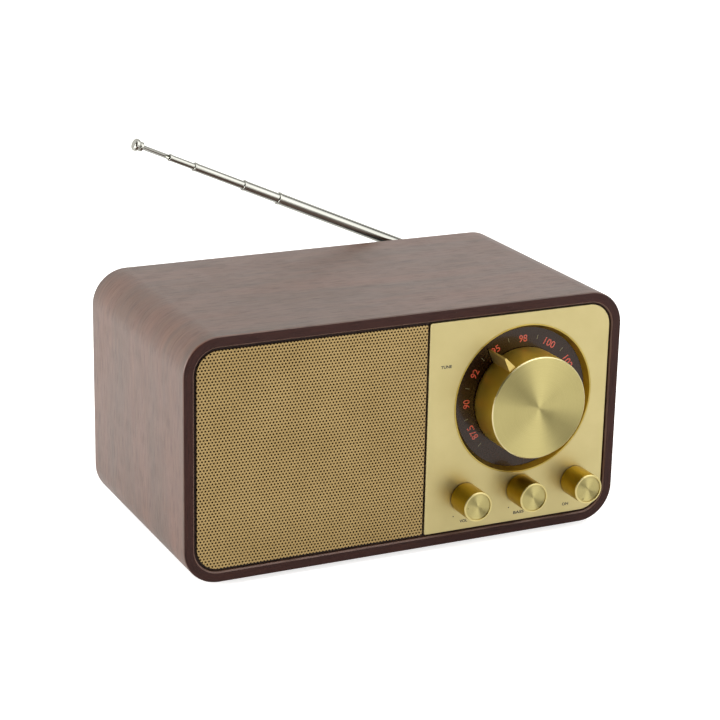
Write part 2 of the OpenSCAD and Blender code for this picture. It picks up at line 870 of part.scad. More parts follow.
// Flat blade on the pin, a collar, and a plug inside the first section
module aerial_knuckle() {
    neck_half = 2.8;
    color("#c9cacb") along_aerial() difference() {
        union() {
            rotate([0, 90, 0]) translate([0, 0, -blade_t / 2]) cylinder(h = blade_t, r = blade_r);
            translate([-blade_t / 2, -neck_half, 0]) cube([blade_t, 2 * neck_half, collar_from + 0.5]);
            translate([0, 0, collar_from]) cylinder(h = tube_from - collar_from, r = section_r);
            translate([0, 0, tube_from]) cylinder(h = 4, r = section_r - section_wall - seat_fit);
        }
        rotate([0, 90, 0]) translate([0, 0, -blade_t]) cylinder(h = 2 * blade_t, r = pin_r + run_fit);
    }
}

// Tube from one place along the aerial to another, with a rolled bead at its open end
module section_tube(from, to, r, bore) {
    bead_r = r + 0.2;
    bead_w = 1.2;
    color("#c9cacb") along_aerial() difference() {
        union() {
            translate([0, 0, from]) cylinder(h = to - from, r = r);
            translate([0, 0, to - bead_w]) cylinder(h = bead_w, r = bead_r);
        }
        translate([0, 0, from - 1]) cylinder(h = to - from + 2, r = bore);
    }
}

function radius_of(i) = section_r - (i - 1) * section_step;
function bore_of(i) = radius_of(i + 1) + run_fit;

module aerial_section_1() {
    section_tube(tube_from, ends[0], radius_of(1), bore_of(1));
}

module aerial_section_2() {
    section_tube(ends[1] - section_len, ends[1], radius_of(2), bore_of(2));
}

module aerial_section_3() {
    section_tube(ends[2] - section_len, ends[2], radius_of(3), bore_of(3));
}

module aerial_section_4() {
    section_tube(ends[3] - section_len, ends[3], radius_of(4), bore_of(4));
}

// Solid rod that ends in a grooved button
module aerial_section_5() {
    color("#c9cacb") along_aerial() {
        translate([0, 0, ends[4] - section_len]) cylinder(h = section_len, r = radius_of(5));
        translate([0, 0, ends[4]]) rotate_extrude() polygon([
            [0, -1], [1.6, 0], [2.6, 0.6], [2.6, 1.9], [2.1, 2.3], [2.9, 2.9],
            [tip_r, 3.4], [tip_r, 4.8], [2.6, 5.5], [0, 5.7]
        ]);
    }
}

cabinet();
front_baffle();
control_panel();
dial_bezel();
dial_plate();
speaker_grille();
grille_cloth();
tuning_knob();
tuning_knob_hub();
tuning_pointer();
tuning_shaft();
tuning_pot();
volume_knob();
volume_knob_cap();
volume_shaft();
volume_pot();
bass_knob();
bass_knob_cap();
bass_shaft();
bass_pot();
power_knob();
power_knob_cap();
power_shaft();
power_switch();
control_bracket();
bracket_screws();
control_nuts();
speaker_gasket();
speaker_basket();
speaker_screws();
speaker_top_plate();
speaker_magnet();
speaker_yoke();
speaker_cone();
speaker_surround();
speaker_spider();
voice_coil();
dust_cap();
main_board();
board_standoffs();
board_screws();
tuner_can();
heatsink();
filter_capacitors();
rear_panel();
rear_blocks();
rear_screws();
aux_jack();
dc_socket();
aerial_base();
aerial_swivel();
aerial_pin();
aerial_knuckle();
aerial_section_1();
aerial_section_2();
aerial_section_3();
aerial_section_4();
aerial_section_5();
feet();
foot_screws();
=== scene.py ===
import json
import math

import bmesh
import bpy
import numpy as np
from mathutils import Matrix, Vector


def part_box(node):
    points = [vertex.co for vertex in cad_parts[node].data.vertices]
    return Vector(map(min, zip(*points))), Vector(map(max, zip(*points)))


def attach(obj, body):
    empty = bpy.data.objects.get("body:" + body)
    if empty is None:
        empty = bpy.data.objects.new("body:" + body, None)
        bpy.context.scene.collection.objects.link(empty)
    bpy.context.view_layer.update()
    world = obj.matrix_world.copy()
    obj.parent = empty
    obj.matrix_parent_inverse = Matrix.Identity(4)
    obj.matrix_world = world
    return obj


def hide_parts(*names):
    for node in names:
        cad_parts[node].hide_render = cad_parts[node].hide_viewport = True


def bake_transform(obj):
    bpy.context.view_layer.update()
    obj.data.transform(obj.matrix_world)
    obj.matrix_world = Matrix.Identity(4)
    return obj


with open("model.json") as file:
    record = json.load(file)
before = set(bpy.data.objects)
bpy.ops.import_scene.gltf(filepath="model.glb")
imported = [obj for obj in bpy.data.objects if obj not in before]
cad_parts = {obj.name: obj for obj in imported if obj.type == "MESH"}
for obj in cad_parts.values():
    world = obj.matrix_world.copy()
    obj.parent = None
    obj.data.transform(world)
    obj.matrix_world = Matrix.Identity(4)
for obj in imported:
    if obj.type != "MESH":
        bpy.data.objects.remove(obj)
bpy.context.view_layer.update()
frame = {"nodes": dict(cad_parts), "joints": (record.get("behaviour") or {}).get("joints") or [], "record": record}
nodes = frame["nodes"]
record = frame["record"]
slotOf = {part["node"]: part["material_slot"] for part in record["subparts"]}
bodyOf = {node: body for body, members in record["behaviour"]["bodies"].items() for node in members}
mm = 0.001


cameraSetup = {
    "azimuth": -25.88,          # degrees round from the front, to the radio's left
    "elevation": 17.90,
    "roll": 1.23,
    "lens": 108.1,              # millimetres
    "sensor": 36.0,
    "farthest": 50.0,
    "place": (-0.4639, -0.9632, 0.4295),
}


def directionFrom(azimuth, elevation):
    # unit vector from the radio towards a point seen at that azimuth and elevation, in degrees
    turn, rise = math.radians(azimuth), math.radians(elevation)
    return Vector((math.sin(turn) * math.cos(rise), -math.cos(turn) * math.cos(rise), math.sin(rise)))


def newObject(name, data):
    made = bpy.data.objects.new(name, data)
    bpy.context.scene.collection.objects.link(made)
    return made


def placeCamera(setup):
    data = bpy.data.cameras.new("studioCamera")
    data.lens, data.sensor_width, data.clip_end = setup["lens"], setup["sensor"], setup["farthest"]
    camera = newObject("studioCamera", data)
    back = directionFrom(setup["azimuth"], setup["elevation"])
    turn, roll = math.radians(setup["azimuth"]), math.radians(setup["roll"])
    level = Vector((math.cos(turn), math.sin(turn), 0))
    rise = level.cross(-back)
    right = math.cos(roll) * level + math.sin(roll) * rise
    up = -math.sin(roll) * level + math.cos(roll) * rise
    axes = Matrix((right, up, back)).transposed().to_4x4()
    camera.matrix_world = Matrix.Translation(setup["place"]) @ axes
    bpy.context.scene.camera = camera


studio = {
    "skyColour": (1.0, 0.985, 0.955, 1),
    "dimSides": [
        # azimuth and elevation of its middle, cosines at which it starts and is full, colour
        (-38, 20, 0.26, 0.78, (0.03, 0.02, 0.003, 1)),      # a warm corner of the room
        (86, 34, 0.93, 0.965, (0.05, 0.05, 0.05, 1)),       # a dark card beside the aerial
    ],
    "floorColour": (0.72, 0.715, 0.705, 1),
    "floorReach": 9,            # metres from the middle to each side
    "floorLift": 0.74,          # glow that only the camera sees, so that the contact shadow stays faint
    "floorSheen": 0.28,         # glow that only glossy surfaces see
    "aim": (0, 0, 0.07),        # point that every light faces
    "lights": [
        # name, azimuth, elevation, distance, width, height, watts
        ("keyPanel", 50, 34, 1.5, 1.7, 1.7, 15),
        ("topPanel", 10, 78, 1.4, 1.0, 0.8, 7),
        ("leftPanel", -98, 10, 1.7, 1.2, 1.0, 38),
    ],
}


def feed(tree, made, inputs):
    # each input is given a value, or the output socket that feeds it
    for key, value in inputs.items():
        if isinstance(value, bpy.types.NodeSocket):
            tree.links.new(value, made.inputs[key])
        else:
            made.inputs[key].default_value = value


def addNode(tree, kind, inputs=None, **settings):
    made = tree.nodes.new("ShaderNode" + kind)
    for name, value in settings.items():
        setattr(made, name, value)
    feed(tree, made, inputs or {})
    return made


def compute(tree, operation, first, second=0.0):
    return addNode(tree, "Math", {0: first, 1: second}, operation=operation).outputs[0]


def mixColours(tree, share, first, second):
    return addNode(tree, "Mix", {0: share, 6: first, 7: second}, data_type="RGBA").outputs[2]


def tinted(tree, base, mask, share, colour):
    # colour laid over base where mask is full, as strongly as share says
    return mixColours(tree, compute(tree, "MULTIPLY", mask, share), base, colour)


def raised(tree, value, mask, share):
    # value and as much of the mask as share says
    return compute(tree, "ADD", value, compute(tree, "MULTIPLY", mask, share))


def noise(tree, place, scale, detail, **inputs):
    named = {"Vector": place, "Scale": scale, "Detail": detail}
    named.update({key.title(): value for key, value in inputs.items()})
    return addNode(tree, "TexNoise", named).outputs["Fac"]


def between(tree, value, low, high, toLow=0.0, toHigh=1.0):
    # value from low to high is spread over toLow to toHigh and held there
    made = addNode(tree, "MapRange", {0: value, 1: low, 2: high, 3: toLow, 4: toHigh})
    return made.outputs[0]


def tint(red, green, blue):
    # colour given as 0 to 255 screen values, turned into linear light
    share = np.array([red, green, blue]) / 255
    light = np.where(share <= 0.04045, share / 12.92, ((share + 0.055) / 1.055) ** 2.4)
    return (*[float(x) for x in light], 1.0)


def lightStudio(spec):
    scene = bpy.context.scene
    scene.view_settings.view_transform = "Standard"
    world = bpy.data.worlds.new("whiteStudio")
    world.use_nodes = True
    scene.world = world
    tree = world.node_tree
    tree.nodes.clear()
    heading = addNode(tree, "TexCoord").outputs["Generated"]
    colour = spec["skyColour"]
    for azimuth, elevation, start, full, shade in spec["dimSides"]:
        towards = tuple(directionFrom(azimuth, elevation))
        facing = addNode(tree, "VectorMath", {0: heading, 1: towards}, operation="DOT_PRODUCT")
        share = between(tree, facing.outputs["Value"], start, full)
        colour = mixColours(tree, share, colour, shade)
    seen = addNode(tree, "LightPath").outputs["Is Camera Ray"]
    colour = mixColours(tree, seen, colour, (1, 1, 1, 1))
    sky = addNode(tree, "Background", {"Color": colour})
    end = tree.nodes.new("ShaderNodeOutputWorld")
    tree.links.new(sky.outputs[0], end.inputs[0])
    for name, azimuth, elevation, distance, width, height, watts in spec["lights"]:
        data = bpy.data.lights.new(name, "AREA")
        data.shape = "RECTANGLE"
        data.size, data.size_y, data.energy = width, height, watts
        light = newObject(name, data)
        outwards = directionFrom(azimuth, elevation)
        light.location = Vector(spec["aim"]) + outwards * distance
        light.rotation_mode = "QUATERNION"
        light.rotation_quaternion = (-outwards).to_track_quat("-Z", "Y")
    material, tree, shader = newMaterial("paleFloor", {
        "Base Color": spec["floorColour"], "Roughness": 0.9, "Emission Color": (1, 1, 1, 1)})
    ray = addNode(tree, "LightPath").outputs
    lift = compute(tree, "MULTIPLY", ray["Is Camera Ray"], spec["floorLift"])
    glow = raised(tree, lift, ray["Is Glossy Ray"], spec["floorSheen"])
    under = addNode(tree, "NewGeometry").outputs["Backfacing"]
    clear = compute(tree, "SUBTRACT", 1.0, under)           # the floor isn't seen from below
    feed(tree, shader, {"Emission Strength": glow, "Alpha": clear})
    # p(i, j) = (i, j, 0) steps across a flat square
    reach = np.linspace(-spec["floorReach"], spec["floorReach"], 5)
    x, y = np.meshgrid(reach, reach, indexing="ij")
    points = np.stack([x, y, np.zeros_like(x)], axis=-1).reshape(-1, 3)
    addMesh("studioFloor", points, gridQuads(5, 5)[:, ::-1], material)


def gridQuads(rows, cols, closeRows=False, closeCols=False):
    # four-cornered faces of a rows by cols grid numbered row by row
    # a closed side joins its last line to its first
    i = np.arange(rows if closeRows else rows - 1)[:, None]
    j = np.arange(cols if closeCols else cols - 1)[None, :]
    nextI, nextJ = (i + 1) % rows, (j + 1) % cols
    corners = [i * cols + j, i * cols + nextJ, nextI * cols + nextJ, nextI * cols + j]
    return np.stack(corners, axis=-1).reshape(-1, 4)


def addMesh(name, points, faces, *materials, smooth=False, faceMaterial=None):
    # points (n, 3) and faces (m, k) as whole arrays; faceMaterial holds a material number for each face
    groups = faces if isinstance(faces, list) else [faces]
    mesh = bpy.data.meshes.new(name)
    mesh.vertices.add(len(points))
    mesh.vertices.foreach_set("co", np.asarray(points, np.float32).ravel())
    corners = np.concatenate([group.ravel() for group in groups]).astype(np.int32)
    sizes = np.concatenate([np.full(len(group), group.shape[1]) for group in groups])
    mesh.loops.add(len(corners))
    mesh.loops.foreach_set("vertex_index", corners)
    mesh.polygons.add(len(sizes))
    starts = np.concatenate([[0], np.cumsum(sizes)[:-1]])
    mesh.polygons.foreach_set("loop_start", starts.astype(np.int32))
    if faceMaterial is not None:
        mesh.polygons.foreach_set("material_index", np.asarray(faceMaterial, np.int32))
    mesh.polygons.foreach_set("use_smooth", np.full(len(sizes), smooth))
    mesh.update(calc_edges=True)
    for material in materials:
        mesh.materials.append(material)
    return newObject(name, mesh)


def closeUp(piece, merge=True):
    # poles and seams are merged, and every face is turned outwards
    bm = bmesh.new()
    bm.from_mesh(piece.data)
    if merge:
        bmesh.ops.remove_doubles(bm, verts=bm.verts, dist=1e-7)
    bmesh.ops.recalc_face_normals(bm, faces=bm.faces)
    bm.to_mesh(piece.data)
    bm.free()


def meshOf(piece):
    # new mesh of the piece as its modifiers leave it
    bpy.context.view_layer.update()
    return bpy.data.meshes.new_from_object(piece.evaluated_get(bpy.context.evaluated_depsgraph_get()))


def applyModifiers(piece):
    finished = meshOf(piece)
    piece.modifiers.clear()
    piece.data = finished


def belongs(piece, *replaced, body=None, slot=None):
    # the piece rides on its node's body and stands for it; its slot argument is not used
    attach(piece, body or bodyOf[replaced[0]])
    if replaced:
        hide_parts(*replaced)
    return piece


def roundedLine(corners, steps=5):
    # line through (x, y, radius) corners: a corner with a radius becomes an arc that touches both
    # its sides, with one more point on each side of it, so that smooth shading keeps the flats flat
    runs = []
    for i, (x, y, radius) in enumerate(corners):
        here = np.array([x, y], float)
        if radius == 0:
            runs.append(here[None])
            continue
        before = np.array(corners[i - 1][:2]) - here
        after = np.array(corners[(i + 1) % len(corners)][:2]) - here
        before, after = before / np.linalg.norm(before), after / np.linalg.norm(after)
        half = math.acos(np.clip(before @ after, -1, 1)) / 2
        reach = radius / math.tan(half)
        middle = here + (before + after) / np.linalg.norm(before + after) * radius / math.sin(half)
        start, end = here + before * reach - middle, here + after * reach - middle
        turn = math.pi - 2 * half
        t = np.linspace(0, 1, steps + 1)[:, None]
        arc = middle + (np.sin((1 - t) * turn) * start + np.sin(t * turn) * end) / math.sin(turn)
        hold = reach + 0.3 * radius
        runs.append(np.vstack([here + before * hold, arc, here + after * hold]))
    return np.vstack(runs)


def turnedPiece(name, profile, place, axis, closed, materials, segments, faceMaterial=None):
    # p(a, s) = place + radius(s) * (cos a * side + sin a * other) + depth(s) * axis, a full turn of a
    axis = np.array(axis, float)
    side = np.array([0.0, 1.0, 0.0]) if abs(axis[1]) < 0.5 else np.array([1.0, 0.0, 0.0])
    other = np.cross(axis, side)
    a = np.linspace(0, 2 * math.pi, segments, endpoint=False)[:, None, None]
    radius, depth = profile[None, :, :1], profile[None, :, 1:]
    points = np.array(place) + radius * (np.cos(a) * side + np.sin(a) * other) + depth * axis
    faces = gridQuads(segments, len(profile), True, closed)
    if faceMaterial is not None:
        faceMaterial = np.tile(faceMaterial, segments)
    piece = addMesh(name, points.reshape(-1, 3), faces, *materials, smooth=True, faceMaterial=faceMaterial)
    closeUp(piece)
    return piece


def softened(node, width, material=None, angle=28):
    # merged copy of a CAD node with the edges sharper than angle, in degrees, rounded
    mesh = bpy.data.meshes.new(node + "_soft")
    bm = bmesh.new()
    bm.from_mesh(nodes[node].data)
    bmesh.ops.remove_doubles(bm, verts=bm.verts, dist=2e-6)
    bmesh.ops.dissolve_limit(bm, angle_limit=math.radians(0.4), verts=bm.verts, edges=bm.edges)
    for face in bm.faces:
        face.smooth = True
    bm.to_mesh(mesh)
    bm.free()
    mesh.materials.clear()
    mesh.materials.append(material or finishes[slotOf[node]])
    piece = newObject(node + "_soft", mesh)
    bevel = piece.modifiers.new("softEdges", "BEVEL")
    bevel.width, bevel.segments = width, 2
    bevel.limit_method, bevel.angle_limit = "ANGLE", math.radians(angle)
    level = piece.modifiers.new("flatNormals", "WEIGHTED_NORMAL")       # keeps flats flat to their edges
    level.mode, level.weight = "FACE_AREA", 100
    applyModifiers(piece)
    belongs(piece, node)


def along(node, axis, origin):
    # lowest and highest reach of a CAD node along an axis through origin
    co = np.zeros(len(nodes[node].data.vertices) * 3, np.float32)
    nodes[node].data.vertices.foreach_get("co", co)
    reach = (co.reshape(-1, 3) - np.array(origin)) @ np.array(axis)
    return float(reach.min()), float(reach.max())


def middleOf(node):
    low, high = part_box(node)
    return (low + high) / 2


def newMaterial(name, constants):
    material = bpy.data.materials.new(name)
    material.use_nodes = True
    shader = material.node_tree.nodes["Principled BSDF"]
    feed(material.node_tree, shader, constants)
    return material, material.node_tree, shader


def newGroup(name, options):
    # every group reads a Place, and its options are plain numbers
    group = bpy.data.node_groups.new(name, "ShaderNodeTree")
    group.interface.new_socket("Place", in_out="INPUT", socket_type="NodeSocketVector")
    for label, value in options.items():
        socket = group.interface.new_socket(label, in_out="INPUT", socket_type="NodeSocketFloat")
        socket.default_value = value
    return group, group.nodes.new("NodeGroupInput").outputs


def endGroup(group, **results):
    end = group.nodes.new("NodeGroupOutput")
    for label, value in results.items():
        group.interface.new_socket(label, in_out="OUTPUT", socket_type="NodeSocketFloat")
        group.links.new(value, end.inputs[label])
    return group


def useGroup(tree, group, inputs):
    return addNode(tree, "Group", inputs, node_tree=group).outputs


def makeWoodGroup():
    # veneer: Place runs along the grain on x and across it on y, in metres
    group, given = newGroup("woodGrain", {"Pore Share": 0.58})

    def grainNoise(scale, detail, roughness, distortion=0.0):
        # noise whose blots are 1 / scale metres long on each axis
        moved = addNode(group, "Mapping", {"Vector": given["Place"], "Scale": scale}).outputs[0]
        return noise(group, moved, 1.0, detail, roughness=roughness, distortion=distortion)

    figure = grainNoise((7, 55, 55), 3.0, 0.6, 0.6)
    streak = grainNoise((38, 700, 700), 3.0, 0.6)
    pores = grainNoise((95, 3200, 3200), 2.0, 0.5)
    patches = grainNoise((60, 260, 260), 2.0, 0.5)
    lean = compute(group, "MULTIPLY", between(group, patches, 0.3, 0.7), 0.10)      # more pores in places
    limit = compute(group, "SUBTRACT", given["Pore Share"], lean)
    opened = compute(group, "MULTIPLY", compute(group, "SUBTRACT", pores, limit), 14.0)
    mask = between(group, opened, 0.0, 1.0)
    height = compute(group, "SUBTRACT", compute(group, "MULTIPLY", streak, 0.25), mask)
    return endGroup(group, Figure=between(group, figure, 0.28, 0.72),
                    Streak=between(group, streak, 0.3, 0.7), Pores=mask, Height=height)


def makeSpunGroup():
    # fine lines left by a cutter that ran round the axis: noise over the distance from the axis
    group, given = newGroup("spunLines", {"Lines": 4000.0})
    flat = addNode(group, "VectorMath", {0: given["Place"], 1: (1, 0, 1)}, operation="MULTIPLY").outputs[0]
    radius = addNode(group, "VectorMath", {0: flat}, operation="LENGTH").outputs["Value"]
    steps = compute(group, "MULTIPLY", radius, given["Lines"])
    cut = addNode(group, "TexNoise", {"W": steps, "Scale": 1.0, "Detail": 2.0}, noise_dimensions="1D")
    cut = cut.outputs["Fac"]
    return endGroup(group, Line=between(group, cut, 0.3, 0.7), Height=cut)


def makeBlastGroup():
    # fine pits of a blasted, cast or moulded surface, with broader patches over them
    group, given = newGroup("blastedSurface", {"Pits": 3500.0})
    pits = noise(group, given["Place"], given["Pits"], 2.0)
    patch = noise(group, given["Place"], compute(group, "MULTIPLY", given["Pits"], 0.012), 3.0)
    return endGroup(group, Pit=between(group, pits, 0.32, 0.68), Patch=between(group, patch, 0.34, 0.66),
                    Height=pits)


def makeHandlingGroup():
    # faint smears and specks that handling and dust leave
    group, given = newGroup("handling", {})
    smear = noise(group, given["Place"], 38.0, 4.0, distortion=1.2)
    speck = addNode(group, "TexVoronoi", {"Vector": given["Place"], "Scale": 420.0}).outputs["Distance"]
    return endGroup(group, Smear=between(group, smear, 0.42, 0.72), Speck=between(group, speck, 0.10, 0.03))


def makeWeaveGroup():
    # plain weave on x and z: sin x * sin z is high where one thread is on top and low for the other
    group, given = newGroup("plainWeave", {"Threads": 1500.0})
    parts = addNode(group, "SeparateXYZ", {0: given["Place"]}).outputs
    pace = compute(group, "MULTIPLY", given["Threads"], math.pi)
    across = compute(group, "SINE", compute(group, "MULTIPLY", parts["X"], pace))
    down = compute(group, "SINE", compute(group, "MULTIPLY", parts["Z"], pace))
    crossing = compute(group, "MULTIPLY", across, down)
    return endGroup(group, Thread=between(group, crossing, -1.0, 1.0),
                    Height=compute(group, "ABSOLUTE", crossing))


woodGroup = makeWoodGroup()
spunGroup = makeSpunGroup()
blastGroup = makeBlastGroup()
handlingGroup = makeHandlingGroup()
weaveGroup = makeWeaveGroup()


def dress(tree, shader, patterns, height, strength, distance):
    # the patterns go to the shader's own sockets, and height gives its normal
    relief = addNode(tree, "Bump", {"Height": height, "Strength": strength, "Distance": distance})
    feed(tree, shader, {**patterns, "Normal": relief.outputs["Normal"]})


def objectPlace(tree, centre=(0, 0, 0)):
    place = addNode(tree, "TexCoord").outputs["Object"]
    return addNode(tree, "Mapping", {"Vector": place, "Location": tuple(-x for x in centre)}).outputs[0]


def joinedName(slot):
    return slot.replace("_", " ").title().replace(" ", "")


finishes = {}

veneer = {
    "dark": tint(54, 36, 25),
    "middle": tint(88, 51, 36),
    "light": tint(108, 78, 57),
    "pore": tint(34, 14, 10),
    "roughness": 0.44,
    "coat": 0.42,
    "coatRoughness": 0.34,
    "specular": 0.5,
}
edgeBand = {"dark": tint(40, 17, 13), "middle": tint(54, 24, 18), "light": tint(68, 33, 25),
            "pore": tint(26, 12, 10), "roughness": 0.5, "coat": 0.0, "coatRoughness": 0.3, "specular": 0.22}
# wood on the cut along the inner front edge: the cut is real, its lighter colour is a painted highlight line along
# that edge
cutEdge = {"dark": tint(82, 56, 48), "middle": tint(104, 76, 66), "light": tint(120, 92, 80),
           "pore": tint(60, 38, 32), "roughness": 0.5, "coat": 0.1, "coatRoughness": 0.3, "specular": 0.4}
veneerDetail = {
    "poreShare": 0.60,
    "streakTone": 0.5,          # how strongly streaks, pores and dust colour the wood
    "poreTone": 0.5,
    "dustTone": 0.10,
    "dust": tint(190, 180, 170),
    "poreRough": 0.18,
    "smearRough": 0.06,
    "bump": 0.35,
    "bumpDepth": 0.00012,
}


def veneerMaterial(name, spec, shift=0.0):
    # grain on the sleeve's own map; shift moves it to another part of the figure
    detail = veneerDetail
    material, tree, shader = newMaterial(name, {
        "Coat Weight": spec["coat"], "Coat Roughness": spec["coatRoughness"],
        "Specular IOR Level": spec["specular"]})
    where = addNode(tree, "UVMap", uv_map="sleeveGrain").outputs[0]
    where = addNode(tree, "Mapping", {"Vector": where, "Location": (shift, shift, 0)}).outputs[0]
    grain = useGroup(tree, woodGroup, {"Place": where, "Pore Share": detail["poreShare"]})
    handled = useGroup(tree, handlingGroup, {"Place": objectPlace(tree)})
    base = mixColours(tree, grain["Figure"], spec["dark"], spec["middle"])
    base = tinted(tree, base, grain["Streak"], detail["streakTone"], spec["light"])
    base = tinted(tree, base, grain["Pores"], detail["poreTone"], spec["pore"])
    base = tinted(tree, base, handled["Speck"], detail["dustTone"], detail["dust"])
    rough = raised(tree, spec["roughness"], grain["Pores"], detail["poreRough"])
    rough = raised(tree, rough, handled["Smear"], detail["smearRough"])
    dress(tree, shader, {"Base Color": base, "Roughness": rough}, grain["Height"], detail["bump"],
          detail["bumpDepth"])
    return material


finishes["walnut_veneer"] = veneerMaterial("walnutVeneer", veneer)
edgeBandMaterial = veneerMaterial("stainedEdge", edgeBand, 0.37)
# the cut edge's lighter colour is a painted highlight line along the inner front edge
cutEdgePaintedHighlight = veneerMaterial("cutEdge", cutEdge, 0.61)


wornDetail = {
    "centre": (0, 0, 0),        # point that the pattern runs round
    "pits": 4200.0,
    "pitRough": 0.0,
    "toneRough": 0.0,
    "smearRough": 0.05,
}


def wornMaterial(name, settings, constants):
    # blasted pits or spun lines, a slow change of tone, specks of dust, and smears in the roughness
    spec = {**wornDetail, **settings}
    material, tree, shader = newMaterial(name, constants)
    place = objectPlace(tree, spec["centre"])
    handled = useGroup(tree, handlingGroup, {"Place": place})
    blast = useGroup(tree, blastGroup, {"Place": place, "Pits": spec["pits"]})
    tone, height = blast["Patch"], blast["Height"]
    if "lines" in spec:
        spun = useGroup(tree, spunGroup, {"Place": place, "Lines": spec["lines"]})
        tone, height = spun["Line"], spun["Height"]
        tangent = addNode(tree, "Tangent", direction_type="RADIAL", axis="Y")
        tree.links.new(tangent.outputs[0], shader.inputs["Tangent"])
    base = mixColours(tree, tone, spec["dark"], spec["light"])
    base = tinted(tree, base, blast["Pit"], spec["pitTone"], spec["dark"])
    base = tinted(tree, base, handled["Speck"], spec["dustTone"], spec["dust"])
    rough = raised(tree, spec["roughness"], tone, spec["toneRough"])
    rough = raised(tree, rough, blast["Pit"], spec["pitRough"])
    rough = raised(tree, rough, handled["Smear"], spec["smearRough"])
    dress(tree, shader, {"Base Color": base, "Roughness": rough}, height, spec["bump"], spec["bumpDepth"])
    return material


metalDetail = {
    "metallic": 1.0,
    "anisotropic": 0.0,
    "pitTone": 0.12,
    "toneRough": 0.05,
    "bump": 0.2,
    "bumpDepth": 0.00003,
    "dust": (0.75, 0.74, 0.70, 1),
    "dustTone": 0.06,
}


def metalMaterial(name, settings):
    spec = {**metalDetail, **settings}
    return wornMaterial(name, spec, {
        "Metallic": spec["metallic"], "Anisotropic": spec["anisotropic"], "Anisotropic Rotation": 0.25})


metals = {
    "gilt_panel": {"dark": tint(189, 176, 126), "light": tint(197, 184, 134), "roughness": 0.42,
                   "bump": 0.25},
    "gilt_turned": {"dark": tint(168, 146, 72), "light": tint(188, 168, 92), "roughness": 0.3},
    "knob_gilt": {"dark": tint(172, 139, 22), "light": tint(188, 157, 36), "roughness": 0.36},
    "grille_gilt": {"dark": tint(166, 141, 93), "light": tint(176, 151, 102), "roughness": 0.45,
                    "metallic": 0.85, "pits": 3000.0},
    "chrome": {"dark": tint(160, 160, 153), "light": tint(177, 177, 170), "roughness": 0.09, "pits": 1800.0,
               "bump": 0.05, "toneRough": 0.03},
    "steel": {"dark": tint(150, 152, 154), "light": tint(184, 186, 188), "roughness": 0.34, "pits": 2600.0},
    "shaft_steel": {"dark": tint(170, 170, 170), "light": tint(200, 200, 200), "roughness": 0.24,
                    "pits": 3800.0},
    "brass": {"dark": tint(176, 142, 66), "light": tint(212, 178, 96), "roughness": 0.28, "pits": 3000.0},
    "ferrite": {"dark": tint(48, 48, 50), "light": tint(78, 78, 80), "roughness": 0.62, "metallic": 0.25,
                "pits": 1800.0, "bump": 0.5},
    "coil_wire": {"dark": tint(150, 76, 36), "light": tint(208, 118, 62), "roughness": 0.3, "pits": 5200.0,
                  "bump": 0.7},
    "tinplate": {"dark": tint(160, 163, 165), "light": tint(192, 194, 196), "roughness": 0.3, "pits": 1400.0},
    "heatsink_black": {"dark": tint(28, 28, 30), "light": tint(46, 46, 48), "roughness": 0.4, "metallic": 0.7,
                       "pits": 3600.0},
    "control_case": {"dark": tint(138, 142, 144), "light": tint(178, 181, 183), "roughness": 0.32,
                     "pits": 2200.0},
}
for slot, spec in metals.items():
    finishes[slot] = metalMaterial(joinedName(slot), spec)


def spunMaterial(name, node):
    # face spun round the axis of its own node
    return metalMaterial(name, {
        "dark": tint(179, 167, 110), "light": tint(198, 187, 131), "roughness": 0.44, "lines": 5200.0,
        "pits": 3200.0,
        "anisotropic": 0.94, "toneRough": 0.07, "bump": 0.12, "bumpDepth": 0.00002, "pitTone": 0.05,
        "centre": tuple(middleOf(node))})


plasticDetail = {
    "coat": 0.0,
    "coatRoughness": 0.1,
    "specular": 0.5,
    "glossTint": (1, 1, 1, 1),
    "pits": 2600.0,
    "pitTone": 0.25,
    "pitRough": 0.06,
    "dust": tint(176, 172, 166),
    "dustTone": 0.12,
    "bump": 0.25,
    "bumpDepth": 0.00005,
}


def plasticMaterial(name, settings):
    # moulded, painted or felted surface
    spec = {**plasticDetail, **settings}
    return wornMaterial(name, spec, {
        "Coat Weight": spec["coat"], "Coat Roughness": spec["coatRoughness"], "Coat Tint": spec["glossTint"],
        "Specular IOR Level": spec["specular"], "Specular Tint": spec["glossTint"]})


plastics = {
    "black_board": {"dark": tint(42, 25, 19), "light": tint(58, 37, 29), "roughness": 0.72, "pits": 1400.0},
    "dial_acrylic": {"dark": tint(26, 10, 6), "light": tint(34, 15, 9), "roughness": 0.22, "coat": 0.25,
                     "coatRoughness": 0.08, "specular": 0.35, "pits": 900.0, "bump": 0.03, "dustTone": 0.03,
                     "glossTint": (1.0, 0.84, 0.72, 1)},
    "black_plastic": {"dark": tint(20, 20, 21), "light": tint(31, 31, 33), "roughness": 0.5, "bump": 0.6,
                      "specular": 0.36, "pits": 2200.0},
    "socket_plastic": {"dark": tint(18, 18, 18), "light": tint(28, 28, 29), "roughness": 0.25},
    "rubber": {"dark": tint(20, 20, 20), "light": tint(34, 33, 32), "roughness": 0.78, "dustTone": 0.2},
    "cone_paper": {"dark": tint(24, 22, 21), "light": tint(46, 43, 40), "roughness": 0.85, "pits": 1100.0,
                   "bump": 0.7},
    "circuit_board": {"dark": tint(18, 74, 42), "light": tint(30, 104, 62), "roughness": 0.3, "pits": 700.0},
    "capacitor_sleeve": {"dark": tint(22, 30, 50), "light": tint(34, 44, 70), "roughness": 0.26},
}
for slot, spec in plastics.items():
    finishes[slot] = plasticMaterial(joinedName(slot), spec)

cloths = {
    "grille_cloth": {"dark": tint(72, 54, 30), "light": tint(100, 78, 46), "threads": 1600.0},
    "spider_cloth": {"dark": tint(150, 122, 72), "light": tint(206, 178, 118), "threads": 1100.0},
}


